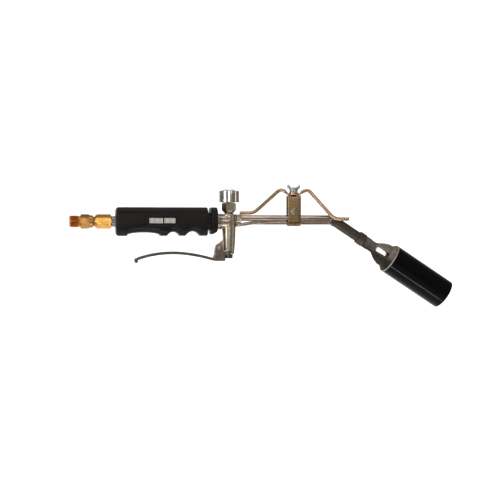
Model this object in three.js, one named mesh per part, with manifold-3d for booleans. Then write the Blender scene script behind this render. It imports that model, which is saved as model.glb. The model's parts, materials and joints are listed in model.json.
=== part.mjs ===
import * as THREE from "three";
import { mergeVertices } from "three/addons/utils/BufferGeometryUtils.js";
import Module from "manifold-3d";

// Propane torch: handle along X, burner at the +X end, knob and stand upwards (+Z), millimetres.
// The origin is the middle of the grip, on the axis of the handle tube.

const wasm = await Module();
wasm.setup();

// Inlet fittings
const INLET_END_X = -121;
const THREAD_RADIUS = 8.33;
const THREAD_ROOT_RADIUS = 7.5;
const INLET_BORE = 3.6;
const NIPPLE_HEX_X = -106.7;
const NIPPLE_HEX_END_X = -89.6;
const NIPPLE_SHOULDER_X = -94.9;
const HEX_FLATS = 17;
const HEX_CORNER_RADIUS = 9.6;
const INLET_BORE_END_X = -79;
const COUPLING_X = -88;
const COUPLING_END_X = -66.4;
const SPIGOT_RADIUS = 6.2;

// Handle
const HANDLE_TUBE_RADIUS = 7.1;
const HANDLE_TUBE_BORE = 4.6;
const HANDLE_TUBE_START_X = -78;
const HANDLE_TUBE_END_X = 80;
const GRIP_START_X = -60.8;
const GRIP_END_X = 61.4;
const GRIP_TOP = 19.2;
const GRIP_BOTTOM = -19.4;
const GRIP_HALF_WIDTH = 15.5;
const GRIP_SCALLOPS = [
  { centre: -24.2, half: 21.8, depth: 4.6, fullness: 0.35 },
  { centre: 15.5, half: 8.4, depth: 5.3, fullness: 0.8 },
  { centre: 41.5, half: 9.6, depth: 6, fullness: 0.8 },
];
const PANEL = { startX: -23.4, endX: 20.7, bottom: -5.2, top: 8.1, depth: 1 };
const LABEL = { startX: -17.2, endX: 17.2, bottom: -2.3, top: 4.5 };
const COLLAR_END_X = 74.6;
const FERRULE_RADIUS = 11;

// Valve body
const VALVE_X = 91.6;
const BARREL_TOP = 10.2;
const BARREL_RADIUS = 9.2;
const BARREL_FOOT = -39.3;
const BARREL_FOOT_RADIUS = 7.6;
const SKIRT_FOOT = -43.8;
const SKIRT_START_X = 94.3;
const NECK_RADIUS = 5.6;
const GLAND_BASE = 15.6;
const GLAND_TOP = 25;
const KNOB_BASE = 25.6;
const KNOB_TOP = 41.7;
const KNOB_RADIUS = 14.5;
const SPINDLE_RADIUS = 2.5;
const CHAMBER_RADIUS = 5.2;
const SEAT_Z = -13;

// Lever
const PIN_X = 77.3;
const PIN_Z = -35.4;
const PIN_RADIUS = 2;
const LEVER_HALF_WIDTH = 5.8;
const LEVER_THICKNESS = 4;
const STRIP_START_X = -32;
const STRIP_END_X = 70;
const STRIP_PEAK_X = 16;
const STRIP_PEAK_Z = -42;
const STRIP_HALF_SPAN = 52;
const STRIP_REAR_DROP = 9.2;
const STRIP_FRONT_DROP = 8.4;
const WEB_HALF_WIDTH = 3;
const STEM_RADIUS = 2.2;
const STEM_HEAD_TOP = -44.2;
const STEM_HEAD_BOTTOM = -49.8;
const STEM_HEAD_RADIUS = 5.3;

// Twin tubes and bend
const MAIN_TUBE_RADIUS = 4;
const MAIN_TUBE_BORE = 3;
const MAIN_TUBE_Z = 4.75;
const PILOT_TUBE_RADIUS = 2.5;
const PILOT_TUBE_BORE = 1.7;
const PILOT_TUBE_Z = -1.85;
const PILOT_PORT_Z = -3.9;
const PILOT_RISE_START = 109;
const PILOT_RISE_END = 125;
const BEND_ANGLE = THREE.MathUtils.degToRad(33);
const BEND_RADIUS = 26;
const CORNER_X = 237;
const CORNER_Z = 2.2;

// Burner, measured along its own axis from the corner of the bend
const NECK_END = 53.2;
const JET_OFFSET = 0.9;
const SOCKET_START = 42.8;
const SOCKET_END = 53.6;
const SOCKET_RADIUS = 8.9;
const JET_HOLDER_START = 64.4;
const JET_HOLDER_END = 70;
const CAGE_START = 53.9;
const CAGE_HUB_RADIUS = 8.2;
const CAGE_WINDOWS = [
  { turn: 0, start: 72.5, end: 91.5, width: 6.5 },
  { turn: Math.PI / 2, start: 72.5, end: 91.5, width: 6.5 },
  { turn: Math.PI, start: 76, end: 96.6, width: 13 },
  { turn: -Math.PI / 2, start: 72.5, end: 91.5, width: 6.5 },
];
const CAGE_END = 101;
const CUP_START = 98.2;
const CUP_END = 192.7;
const CUP_RADIUS = 21;
const CUP_WALL = 1.2;

// Stand and its clamp
const STAND_X = 181.5;
const STRAP_WIDTH = 18;
const STRAP_THICKNESS = 2;
const STRAP_TOP = 36;
const STRAP_GAP = 4.4;
const SCREW_X = STAND_X - 1;
const SCREW_Z = 13.5;
const ROD_RADIUS = 2.5;
const STAND_YAW = THREE.MathUtils.degToRad(-8);
const EYE_BASE = 36.3;
const EYE_THICKNESS = 2.8;
const EYE_RADIUS = 7.6;
const BOLT_RADIUS = 2.9;
const BOLT_BASE = 30.2;
const BOLT_TOP = 47;
const WASHER_BASE = 39.4;
const WING_BASE = 40.9;
const WING_TURN = 0.2;

function closedSolid(geometry) {
  const bare = geometry.index ? geometry.toNonIndexed() : geometry.clone();
  bare.deleteAttribute("normal");
  bare.deleteAttribute("uv");
  const merged = mergeVertices(bare, 1e-4);
  const triVerts = new Uint32Array(merged.index.array);
  const vertProperties = new Float32Array(merged.attributes.position.array);
  const made = new wasm.Manifold(new wasm.Mesh({ numProp: 3, vertProperties, triVerts }));
  if (made.volume() > 0) return made;
  for (let i = 0; i < triVerts.length; i += 3) {
    [triVerts[i + 1], triVerts[i + 2]] = [triVerts[i + 2], triVerts[i + 1]];
  }
  return new wasm.Manifold(new wasm.Mesh({ numProp: 3, vertProperties, triVerts }));
}

function geometryOf(made) {
  const mesh = made.getMesh();
  const geometry = new THREE.BufferGeometry();
  geometry.setAttribute("position", new THREE.BufferAttribute(new Float32Array(mesh.vertProperties), 3));
  geometry.setIndex(new THREE.BufferAttribute(new Uint32Array(mesh.triVerts), 1));
  geometry.computeVertexNormals();
  return geometry;
}

const group = new THREE.Group();
group.name = "propane_torch";

function addPart(name, made, colour, metalness, roughness) {
  const material = new THREE.MeshStandardMaterial({ color: colour, metalness, roughness });
  const mesh = new THREE.Mesh(geometryOf(made), material);
  mesh.name = name;
  group.add(mesh);
}

// A turned solid: profile points are [radius, distance along the axis], from axis to axis.
function turnedGeometry(profile, segments = 24) {
  const points = profile.map(([radius, along]) => new THREE.Vector2(radius, along));
  return new THREE.LatheGeometry(points, segments);
}

function turnedAlongX(profile, y = 0, z = 0, segments = 24, turn = 0) {
  return closedSolid(turnedGeometry(profile, segments).rotateY(turn).rotateZ(-Math.PI / 2).translate(0, y, z));
}

function turnedAlongZ(profile, x = 0, y = 0, segments = 24) {
  return closedSolid(turnedGeometry(profile, segments).rotateX(Math.PI / 2).translate(x, y, 0));
}

function turnedAlongY(profile, x = 0, z = 0, segments = 16) {
  return closedSolid(turnedGeometry(profile, segments).translate(x, 0, z));
}

function rodProfile(radius, start, end) {
  return [[0, start], [radius, start], [radius, end], [0, end]];
}

function chamferedProfile(radius, start, end, chamfer) {
  return [
    [0, start],
    [radius - chamfer, start],
    [radius, start + chamfer],
    [radius, end - chamfer],
    [radius - chamfer, end],
    [0, end],
  ];
}

function rodAlongX(radius, start, end, y = 0, z = 0, segments = 18) {
  return turnedAlongX(rodProfile(radius, start, end), y, z, segments);
}

function rodAlongZ(radius, start, end, x = 0, y = 0, segments = 18) {
  return turnedAlongZ(rodProfile(radius, start, end), x, y, segments);
}

function rodAlongY(radius, start, end, x = 0, z = 0, segments = 14) {
  return turnedAlongY(rodProfile(radius, start, end), x, z, segments);
}

function box(x0, x1, y0, y1, z0, z1) {
  const geometry = new THREE.BoxGeometry(x1 - x0, y1 - y0, z1 - z0);
  return closedSolid(geometry.translate((x0 + x1) / 2, (y0 + y1) / 2, (z0 + z1) / 2));
}

// A flat outline in the XZ plane, given thickness along Y.
function plate(outline, y0, y1) {
  const shape = new THREE.Shape(outline.map(([x, z]) => new THREE.Vector2(x, z)));
  const geometry = new THREE.ExtrudeGeometry(shape, { depth: y1 - y0, bevelEnabled: false });
  return closedSolid(geometry.rotateX(Math.PI / 2).translate(0, y1, 0));
}

// A hexagon of the given distance across flats, with a corner upwards.
function hexAlongX(flats, start, end) {
  const hexagon = [];
  const corner = flats / Math.sqrt(3);
  for (let i = 0; i < 6; i += 1) {
    const angle = Math.PI / 2 + (i * Math.PI) / 3;
    hexagon.push([corner * Math.cos(angle), corner * Math.sin(angle)]);
  }
  const ring = (x) => hexagon.map(([y, z]) => new THREE.Vector3(x, y, z));
  return loft([ring(start), ring(end)]);
}

// A closed skin through rings of points that all run the same way round.
function loft(rings) {
  const count = rings[0].length;
  const positions = [];
  const push = (...points) => points.forEach((p) => positions.push(p.x, p.y, p.z));
  const middle = (ring) => ring.reduce((sum, p) => sum.add(p), new THREE.Vector3()).divideScalar(count);
  for (let i = 0; i < rings.length - 1; i += 1) {
    for (let j = 0; j < count; j += 1) {
      const k = (j + 1) % count;
      push(rings[i][j], rings[i + 1][j], rings[i + 1][k]);
      push(rings[i][j], rings[i + 1][k], rings[i][k]);
    }
  }
  const first = middle(rings[0]);
  const last = middle(rings[rings.length - 1]);
  for (let j = 0; j < count; j += 1) {
    const k = (j + 1) % count;
    push(first, rings[0][j], rings[0][k]);
    push(last, rings[rings.length - 1][k], rings[rings.length - 1][j]);
  }
  const geometry = new THREE.BufferGeometry();
  geometry.setAttribute("position", new THREE.Float32BufferAttribute(positions, 3));
  return closedSolid(geometry);
}

// A round or oval bar along a path in the XZ plane: high is its half size in the plane, deep across it.
function bar(path, high, deep = high, segments = 14) {
  const rings = path.map((point, i) => {
    const before = path[Math.max(i - 1, 0)];
    const after = path[Math.min(i + 1, path.length - 1)];
    const tangent = new THREE.Vector2(after[0] - before[0], after[1] - before[1]).normalize();
    const ring = [];
    for (let j = 0; j < segments; j += 1) {
      const angle = (j * 2 * Math.PI) / segments;
      const up = high * Math.cos(angle);
      const across = deep * Math.sin(angle);
      ring.push(new THREE.Vector3(point[0] - tangent.y * up, across, point[1] + tangent.x * up));
    }
    return ring;
  });
  return loft(rings);
}

// Points on a round bend of the twin tubes, offset from their shared middle line.
function bendPath(offset, startX, endAlong, steps = 5) {
  const tangentLength = BEND_RADIUS * Math.tan(BEND_ANGLE / 2);
  const centreX = CORNER_X - tangentLength;
  const centreZ = CORNER_Z - BEND_RADIUS;
  const path = [[startX, CORNER_Z + offset]];
  for (let i = 0; i <= steps; i += 1) {
    const angle = (BEND_ANGLE * i) / steps;
    const radius = BEND_RADIUS + offset;
    path.push([centreX + radius * Math.sin(angle), centreZ + radius * Math.cos(angle)]);
  }
  path.push(onBurner(endAlong, offset));
  return path;
}

function onBurner(along, offset) {
  const x = CORNER_X + along * Math.cos(BEND_ANGLE) + offset * Math.sin(BEND_ANGLE);
  const z = CORNER_Z - along * Math.sin(BEND_ANGLE) + offset * Math.cos(BEND_ANGLE);
  return [x, z];
}

// Moves a solid made along X from the bend's corner into the burner's slanted frame.
function toBurner(made) {
  const geometry = geometryOf(made).rotateY(BEND_ANGLE).translate(CORNER_X, 0, CORNER_Z);
  return closedSolid(geometry);
}

// ---- Inlet fittings ----

function hoseNipple() {
  const profile = [[0, INLET_END_X], [THREAD_ROOT_RADIUS - 0.8, INLET_END_X]];
  const pitch = 2.4;
  for (let x = INLET_END_X + 0.9; x < NIPPLE_HEX_X - 2.6; x += pitch) {
    profile.push([THREAD_ROOT_RADIUS, x], [THREAD_RADIUS, x + pitch / 2]);
  }
  profile.push([THREAD_ROOT_RADIUS, NIPPLE_HEX_X - 1.6], [THREAD_ROOT_RADIUS, NIPPLE_HEX_X]);
  profile.push([SPIGOT_RADIUS, NIPPLE_HEX_X], [SPIGOT_RADIUS, -80], [0, -80]);
  const hex = hexAlongX(HEX_FLATS, NIPPLE_HEX_X, NIPPLE_SHOULDER_X)
    .intersect(turnedAlongX(chamferedProfile(HEX_CORNER_RADIUS, NIPPLE_HEX_X, NIPPLE_SHOULDER_X + 1, 1)));
  const shoulder = turnedAlongX([
    [0, NIPPLE_SHOULDER_X - 0.1], [8.4, NIPPLE_SHOULDER_X - 0.1], [8.4, NIPPLE_SHOULDER_X + 2.4],
    [7.9, NIPPLE_HEX_END_X - 0.6], [7.2, NIPPLE_HEX_END_X], [0, NIPPLE_HEX_END_X],
  ]);
  return turnedAlongX(profile).add(hex).add(shoulder)
    .subtract(rodAlongX(INLET_BORE, INLET_END_X - 1, INLET_BORE_END_X));
}

function couplingNut() {
  const hex = hexAlongX(HEX_FLATS, COUPLING_X, COUPLING_END_X)
    .intersect(turnedAlongX([
      [0, COUPLING_X], [7.8, COUPLING_X], [8.5, COUPLING_X + 1.2], [HEX_CORNER_RADIUS, COUPLING_X + 3],
      [HEX_CORNER_RADIUS, COUPLING_END_X - 1], [8.6, COUPLING_END_X], [0, COUPLING_END_X],
    ]));
  return hex
    .subtract(rodAlongX(SPIGOT_RADIUS + 0.3, COUPLING_X - 1, -78))
    .subtract(rodAlongX(HANDLE_TUBE_RADIUS + 0.3, -80, COUPLING_END_X + 1));
}

function handleTube() {
  return rodAlongX(HANDLE_TUBE_RADIUS, HANDLE_TUBE_START_X, HANDLE_TUBE_END_X)
    .subtract(rodAlongX(HANDLE_TUBE_BORE, HANDLE_TUBE_START_X - 1, HANDLE_TUBE_END_X + 1));
}

// ---- Grip ----

// Height of the grip's underside at a distance along it: a palm scallop and two finger scallops.
function gripUnderside(x) {
  let z = GRIP_BOTTOM;
  for (const { centre, half, depth, fullness } of GRIP_SCALLOPS) {
    const t = Math.abs(x - centre) / half;
    if (t < 1) z += depth * Math.cos((t * Math.PI) / 2) ** fullness;
  }
  return z;
}

function gripSection(x, top, bottom, half, points = 20) {
  const middle = (top + bottom) / 2;
  const high = (top - bottom) / 2;
  const ring = [];
  for (let j = 0; j < points; j += 1) {
    const angle = (j * 2 * Math.PI) / points;
    const c = Math.cos(angle);
    const s = Math.sin(angle);
    const y = half * Math.sign(s) * Math.abs(s) ** 0.62;
    const z = middle + high * Math.sign(c) * Math.abs(c) ** 0.62;
    ring.push(new THREE.Vector3(x, y, z));
  }
  return ring;
}

function gripSleeve() {
  const rings = [];
  const rounding = [[0, 0.8], [1, 0.9], [2.6, 0.965], [5, 1]];
  for (const [step, share] of rounding) {
    const x = GRIP_START_X + step;
    rings.push(gripSection(x, GRIP_TOP * share, gripUnderside(x) * share, GRIP_HALF_WIDTH * share));
  }
  const steps = 27;
  const span = GRIP_END_X - 2 - (GRIP_START_X + 8);
  for (let i = 0; i <= steps; i += 1) {
    const x = GRIP_START_X + 8 + (span * i) / steps;
    rings.push(gripSection(x, GRIP_TOP, gripUnderside(x), GRIP_HALF_WIDTH));
  }
  rings.push(gripSection(GRIP_END_X, GRIP_TOP * 0.94, GRIP_BOTTOM * 0.94, GRIP_HALF_WIDTH * 0.94));
  const panelY = -GRIP_HALF_WIDTH + PANEL.depth;
  const panel = box(PANEL.startX, PANEL.endX, -GRIP_HALF_WIDTH - 1, panelY, PANEL.bottom, PANEL.top);
  const neck = rodAlongX(12, GRIP_END_X - 1, GRIP_END_X + 4);
  return loft(rings).add(neck).subtract(panel)
    .subtract(rodAlongX(HANDLE_TUBE_RADIUS + 0.2, GRIP_START_X - 1, GRIP_END_X + 5));
}

function gripLabel() {
  const floor = -GRIP_HALF_WIDTH + PANEL.depth;
  return box(LABEL.startX, LABEL.endX, floor - 0.7, floor - 0.1, LABEL.bottom, LABEL.top);
}

function gripCollar() {
  const start = GRIP_END_X + 4.2;
  const rings = [
    gripSection(start, 18.4, -16.8, 15),
    gripSection(start + 1.2, 19.2, -17.5, 15.6),
    gripSection(COLLAR_END_X - 1.4, 19.2, -15.2, 15.6),
    gripSection(COLLAR_END_X, 18.2, -14, 14.6),
  ];
  return loft(rings).subtract(rodAlongX(HANDLE_TUBE_RADIUS + 0.2, start - 1, COLLAR_END_X + 1));
}

// ---- Valve body and its works ----

function bodyFerrule() {
  return turnedAlongX(chamferedProfile(FERRULE_RADIUS, COLLAR_END_X + 0.2, 80.9, 0.8))
    .subtract(rodAlongX(HANDLE_TUBE_RADIUS + 0.1, COLLAR_END_X - 1, 80.3))
    .subtract(rodAlongX(HANDLE_TUBE_BORE, 80, 82));
}

function valveBody() {
  const barrel = turnedAlongZ([
    [0, BARREL_FOOT],
    [BARREL_FOOT_RADIUS - 0.6, BARREL_FOOT],
    [BARREL_FOOT_RADIUS, BARREL_FOOT + 0.8],
    [8.7, -25],
    [BARREL_RADIUS, -11],
    [BARREL_RADIUS, BARREL_TOP - 1],
    [BARREL_RADIUS - 1, BARREL_TOP],
    [NECK_RADIUS + 0.4, BARREL_TOP],
    [NECK_RADIUS, BARREL_TOP + 0.6],
    [NECK_RADIUS, GLAND_BASE + 5],
    [0, GLAND_BASE + 5],
  ], VALVE_X, 0, 18);
  const web = plate([
    [85.5, -23.4], [82.4, -25.5], [73.4, -31.7], [71.9, -33.6], [71.9, -38.6],
    [74.4, -41], [82.4, -41], [86, -38.8], [88, -30],
  ], -WEB_HALF_WIDTH, WEB_HALF_WIDTH);
  const skirt = rodAlongZ(BARREL_FOOT_RADIUS - 0.2, SKIRT_FOOT, BARREL_FOOT + 1, VALVE_X)
    .subtract(box(VALVE_X - 10, SKIRT_START_X, -10, 10, SKIRT_FOOT - 1, BARREL_FOOT));
  const inletBoss = rodAlongX(10.4, 81.2, VALVE_X);
  const mainBoss = rodAlongX(5.2, VALVE_X, 101.2, 0, MAIN_TUBE_Z);
  const pilotBoss = rodAlongX(3.6, VALVE_X, 101.2, 0, PILOT_PORT_Z);
  return barrel.add(skirt).add(web).add(inletBoss).add(mainBoss).add(pilotBoss)
    .subtract(rodAlongX(4, 81, 86))
    .subtract(rodAlongZ(1.5, -20, -0.5, 85))
    .subtract(rodAlongZ(CHAMBER_RADIUS, SKIRT_FOOT - 1, SEAT_Z, VALVE_X))
    .subtract(rodAlongZ(1.8, SEAT_Z - 1, 0, VALVE_X))
    .subtract(rodAlongZ(SPINDLE_RADIUS + 0.3, -1, GLAND_BASE + 6, VALVE_X))
    .subtract(rodAlongX(2.4, VALVE_X, 102, 0, MAIN_TUBE_Z))
    .subtract(rodAlongX(1.3, VALVE_X, 102, 0, PILOT_PORT_Z))
    .subtract(rodAlongY(PIN_RADIUS + 0.15, -4, 4, PIN_X, PIN_Z));
}

function glandNut() {
  const outside = turnedAlongZ([
    [0, GLAND_BASE - 4], [6.6, GLAND_BASE - 4], [9.4, GLAND_BASE],
    [9.4, GLAND_TOP - 0.8], [8.6, GLAND_TOP], [0, GLAND_TOP],
  ], VALVE_X, 0, 6);
  const round = turnedAlongZ([
    [0, GLAND_BASE - 4.2], [6.4, GLAND_BASE - 4.2], [9.4, GLAND_BASE - 0.5],
    [9.4, GLAND_TOP - 1], [8.4, GLAND_TOP], [0, GLAND_TOP],
  ], VALVE_X, 0, 18);
  return outside.intersect(round)
    .subtract(rodAlongZ(NECK_RADIUS + 0.2, GLAND_BASE - 5, GLAND_TOP - 2.6, VALVE_X))
    .subtract(rodAlongZ(SPINDLE_RADIUS + 0.2, GLAND_BASE, GLAND_TOP + 1, VALVE_X));
}

function glandPacking() {
  return rodAlongZ(5, GLAND_BASE + 5.2, GLAND_TOP - 2.8, VALVE_X)
    .subtract(rodAlongZ(SPINDLE_RADIUS + 0.15, GLAND_BASE, GLAND_TOP, VALVE_X));
}

function knob() {
  let made = turnedAlongZ([
    [0, KNOB_BASE], [KNOB_RADIUS - 1, KNOB_BASE], [KNOB_RADIUS, KNOB_BASE + 1],
    [KNOB_RADIUS, KNOB_TOP - 1.6], [KNOB_RADIUS - 1.4, KNOB_TOP], [9, KNOB_TOP + 1.2], [0, KNOB_TOP + 1.8],
  ], VALVE_X, 0, 36);
  const flutes = 12;
  for (let i = 0; i < flutes; i += 1) {
    const angle = ((i + 0.5) * 2 * Math.PI) / flutes;
    const x = VALVE_X + (KNOB_RADIUS + 3.4) * Math.cos(angle);
    const y = (KNOB_RADIUS + 3.4) * Math.sin(angle);
    made = made.subtract(rodAlongZ(4.3, KNOB_BASE - 1, KNOB_TOP + 3, x, y, 12));
  }
  return made.subtract(rodAlongZ(SPINDLE_RADIUS + 0.1, KNOB_BASE - 1, KNOB_TOP - 3, VALVE_X, 0, 18));
}

function knobSpindle() {
  return rodAlongZ(SPINDLE_RADIUS, 11, KNOB_TOP - 3.2, VALVE_X)
    .subtract(rodAlongZ(1.3, 10, 16, VALVE_X));
}

function needle() {
  return turnedAlongZ([
    [0, -3.2], [0.4, -3.2], [1.5, -0.8], [1.2, -0.4], [1.2, 8], [2.2, 8.1], [2.2, 8.7], [1.1, 8.8],
    [1.1, 13], [0, 13],
  ], VALVE_X, 0, 12);
}

function stemSeal() {
  return rodAlongZ(4, SEAT_Z - 2.7, SEAT_Z - 0.15, VALVE_X)
    .subtract(rodAlongZ(1.2, SEAT_Z - 4, SEAT_Z - 1, VALVE_X));
}

function triggerStem() {
  return turnedAlongZ([
    [0, STEM_HEAD_BOTTOM],
    [STEM_HEAD_RADIUS - 0.8, STEM_HEAD_BOTTOM],
    [STEM_HEAD_RADIUS, STEM_HEAD_BOTTOM + 0.8],
    [STEM_HEAD_RADIUS, STEM_HEAD_TOP],
    [STEM_RADIUS, STEM_HEAD_TOP],
    [STEM_RADIUS, SEAT_Z - 5],
    [4.4, SEAT_Z - 5],
    [4.4, SEAT_Z - 2.8],
    [1.1, SEAT_Z - 2.8],
    [1.1, SEAT_Z - 1.2],
    [0, SEAT_Z - 1.2],
  ], VALVE_X, 0, 18);
}

// A coil wound about the stem, from the spring cap up to the seal's holder.
function returnSpring() {
  const turns = 4.5;
  const perTurn = 9;
  const steps = Math.round(turns * perTurn);
  const base = -33.6;
  const rise = SEAT_Z - 6.1 - base;
  const rings = [];
  for (let i = 0; i <= steps; i += 1) {
    const angle = (i * 2 * Math.PI) / perTurn;
    const centre = new THREE.Vector3(3.9 * Math.cos(angle), 3.9 * Math.sin(angle), base + (rise * i) / steps);
    const outward = new THREE.Vector3(Math.cos(angle), Math.sin(angle), 0);
    const ring = [];
    for (let j = 0; j < 5; j += 1) {
      const turn = (j * 2 * Math.PI) / 5;
      const point = centre.clone().addScaledVector(outward, 0.55 * Math.cos(turn));
      point.z += 0.55 * Math.sin(turn);
      point.x += VALVE_X;
      ring.push(point);
    }
    rings.push(ring);
  }
  return loft(rings);
}

function springCap() {
  return rodAlongZ(CHAMBER_RADIUS - 0.1, BARREL_FOOT + 0.2, -34.5, VALVE_X)
    .subtract(rodAlongZ(STEM_RADIUS + 0.2, BARREL_FOOT - 1, -34, VALVE_X));
}

// ---- Lever ----

// Middle line of the finger strip, from the curled tip to the pivot cheeks.
function stripLine() {
  const line = [];
  const steps = 14;
  for (let i = 0; i <= steps; i += 1) {
    const x = STRIP_START_X + ((STRIP_END_X - STRIP_START_X) * i) / steps;
    const t = Math.abs(x - STRIP_PEAK_X) / STRIP_HALF_SPAN;
    const drop = x < STRIP_PEAK_X ? STRIP_REAR_DROP * t ** 2.2 : STRIP_FRONT_DROP * t ** 1.75;
    line.push([x, STRIP_PEAK_Z - drop]);
  }
  return line;
}

function lever() {
  const line = stripLine();
  const half = LEVER_THICKNESS / 2;
  const upper = line.map(([x, z]) => [x, z + half]);
  const lower = line.map(([x, z]) => [x, z - half]).reverse();
  const strip = plate([...upper, ...lower], -LEVER_HALF_WIDTH, LEVER_HALF_WIDTH);
  const bead = geometryOf(rodAlongY(1, -LEVER_HALF_WIDTH, LEVER_HALF_WIDTH)).scale(2.4, 1, 3.4);
  const curl = closedSolid(bead.translate(line[0][0] - 1.9, 0, line[0][1] - 2.2));
  const cheeks = plate([
    [68.8, -48.2], [72.1, -44], [72.1, -35.4], [77.3, -35.4], [82.5, -35.4], [82.5, -39.9],
    [85.9, -40.1], [85.9, -53.3], [72, -53.3], [68.8, -52.4],
  ], -LEVER_HALF_WIDTH, LEVER_HALF_WIDTH);
  const boss = rodAlongY(5.2, -LEVER_HALF_WIDTH, LEVER_HALF_WIDTH, PIN_X, PIN_Z, 20);
  const tines = plate([
    [85, -40.1], [92.4, -40.1], [93.4, -41], [93.4, -42.3], [92.6, -43.4], [91, -43.9],
    [89.4, -43.6], [85, -43.6],
  ], -LEVER_HALF_WIDTH, LEVER_HALF_WIDTH);
  const slotHalf = WEB_HALF_WIDTH + 0.3;
  return strip.add(cheeks).add(boss).add(tines).add(curl)
    .subtract(box(70.6, 95, -slotHalf, slotHalf, -48.6, -29))
    .subtract(rodAlongY(PIN_RADIUS + 0.15, -7, 7, PIN_X, PIN_Z));
}

function leverPin() {
  return turnedAlongY([
    [0, -7.2], [2.6, -7.2], [3, -6.7], [3, -6.1], [PIN_RADIUS, -6.1],
    [PIN_RADIUS, 6.1], [3, 6.1], [3, 6.7], [2.6, 7.2], [0, 7.2],
  ], PIN_X, PIN_Z);
}

// ---- Tubes ----

function tubeNut(radius, bore, start, end, z) {
  const outside = turnedAlongX(chamferedProfile(radius, start, end, 0.8), 0, z, 6, Math.PI / 6);
  return outside.subtract(rodAlongX(bore, start - 1, end + 1, 0, z, 20));
}

function mainTube() {
  const start = 101.6;
  const outside = bendPath(MAIN_TUBE_Z - CORNER_Z, start, 24);
  const inside = bendPath(MAIN_TUBE_Z - CORNER_Z, start - 1, 25);
  return bar(outside, MAIN_TUBE_RADIUS, MAIN_TUBE_RADIUS, 16)
    .subtract(bar(inside, MAIN_TUBE_BORE, MAIN_TUBE_BORE, 10));
}

function pilotLine(start, end) {
  const path = [[start, PILOT_PORT_Z], [PILOT_RISE_START, PILOT_PORT_Z]];
  const run = PILOT_RISE_END - PILOT_RISE_START;
  const rise = PILOT_TUBE_Z - PILOT_PORT_Z;
  for (let i = 1; i < 5; i += 1) {
    const t = i / 5;
    path.push([PILOT_RISE_START + run * t, PILOT_PORT_Z + rise * (3 * t * t - 2 * t * t * t)]);
  }
  return [...path, ...bendPath(PILOT_TUBE_Z - CORNER_Z, PILOT_RISE_END, end)];
}

function pilotTube() {
  return bar(pilotLine(101.6, 24), PILOT_TUBE_RADIUS, PILOT_TUBE_RADIUS, 12)
    .subtract(bar(pilotLine(100.6, 25), PILOT_TUBE_BORE, PILOT_TUBE_BORE, 8));
}

// ---- Burner ----

function neckSleeve() {
  const whole = bendPath(0, 226, NECK_END, 8);
  const path = whole.filter(([x]) => x > 235.8);
  const mainBore = bendPath(MAIN_TUBE_Z - CORNER_Z, 220, 25);
  const pilotBore = bendPath(PILOT_TUBE_Z - CORNER_Z, 220, 25);
  const gasWay = toBurner(rodAlongX(2, 24, 47, 0, 2.55, 10));
  const jetWay = toBurner(rodAlongX(3.3, 46.5, NECK_END + 2, 0, JET_OFFSET, 14));
  const pilotWay = toBurner(rodAlongX(1.1, 24, NECK_END + 2, 0, -4.05, 8));
  return bar(path, 7, 5.9, 20)
    .subtract(bar(mainBore, MAIN_TUBE_RADIUS + 0.3, MAIN_TUBE_RADIUS + 0.3, 14))
    .subtract(bar(pilotBore, PILOT_TUBE_RADIUS + 0.3, PILOT_TUBE_RADIUS + 0.3, 12))
    .subtract(gasWay).subtract(jetWay).subtract(pilotWay);
}

function burnerSocket() {
  const outside = turnedAlongX(chamferedProfile(SOCKET_RADIUS, SOCKET_START, SOCKET_END, 0.7), 0, 0, 24);
  const oval = turnedAlongX(rodProfile(1, SOCKET_START - 1, NECK_END + 0.3), 0, 0, 20);
  const squashed = closedSolid(geometryOf(oval).scale(1, 6.2, 7.3));
  return toBurner(outside.subtract(squashed).subtract(rodAlongX(5.6, NECK_END, SOCKET_END + 1, 0, 0, 18)));
}

function mainJet() {
  return toBurner(turnedAlongX([
    [0, 52], [3, 52], [3, 63], [4, 63], [4, 66.5], [2.2, 71], [0, 71],
  ], 0, JET_OFFSET, 16).subtract(rodAlongX(0.7, 51, 72, 0, JET_OFFSET, 8)));
}

function jetHolder() {
  return toBurner(turnedAlongX([
    [0, JET_HOLDER_START], [5.3, JET_HOLDER_START], [5.3, JET_HOLDER_END], [0, JET_HOLDER_END],
  ], 0, 0, 20).subtract(rodAlongX(4.3, JET_HOLDER_START - 1, JET_HOLDER_END + 1, 0, JET_OFFSET, 16)));
}

function cageProfile(inset) {
  return [
    [0, CAGE_START + inset], [CAGE_HUB_RADIUS - inset, CAGE_START + inset], [CAGE_HUB_RADIUS - inset, 71],
    [13.9 - inset, 80.5], [16.4 - inset, 88], [16 - inset, 92], [20.6 - inset, 97.2],
  ];
}

function burnerCage() {
  const outside = turnedAlongX([
    ...cageProfile(0), [20.6, 98], [19.4, 98], [19.4, CAGE_END], [0, CAGE_END],
  ], 0, 0, 32);
  const inside = turnedAlongX([...cageProfile(2.6), [17.2, 102], [0, 102]], 0, 0, 24);
  let made = outside.subtract(inside).subtract(rodAlongX(5.5, CAGE_START - 1, 75, 0, 0, 20));
  for (const { turn, start, end, width } of CAGE_WINDOWS) {
    const opening = geometryOf(box(start, end, -30, 0, -width / 2, width / 2));
    made = made.subtract(closedSolid(opening.rotateX(turn)));
  }
  return toBurner(made);
}

function flameHolder() {
  let plateDisc = rodAlongX(16.6, 98.4, 100.4, 0, 0, 24).subtract(rodAlongX(4.6, 97, 102, 0, 0, 12));
  const holes = 8;
  for (let i = 0; i < holes; i += 1) {
    const angle = (i * 2 * Math.PI) / holes;
    plateDisc = plateDisc.subtract(rodAlongX(2.3, 97, 102, 11 * Math.cos(angle), 11 * Math.sin(angle), 8));
  }
  return toBurner(plateDisc);
}

function burnerCup() {
  const inner = CUP_RADIUS - CUP_WALL;
  return toBurner(turnedAlongX([
    [inner, CUP_START], [CUP_RADIUS, CUP_START], [CUP_RADIUS, CUP_END], [inner, CUP_END], [inner, CUP_START],
  ], 0, 0, 40));
}

// ---- Stand ----

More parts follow.
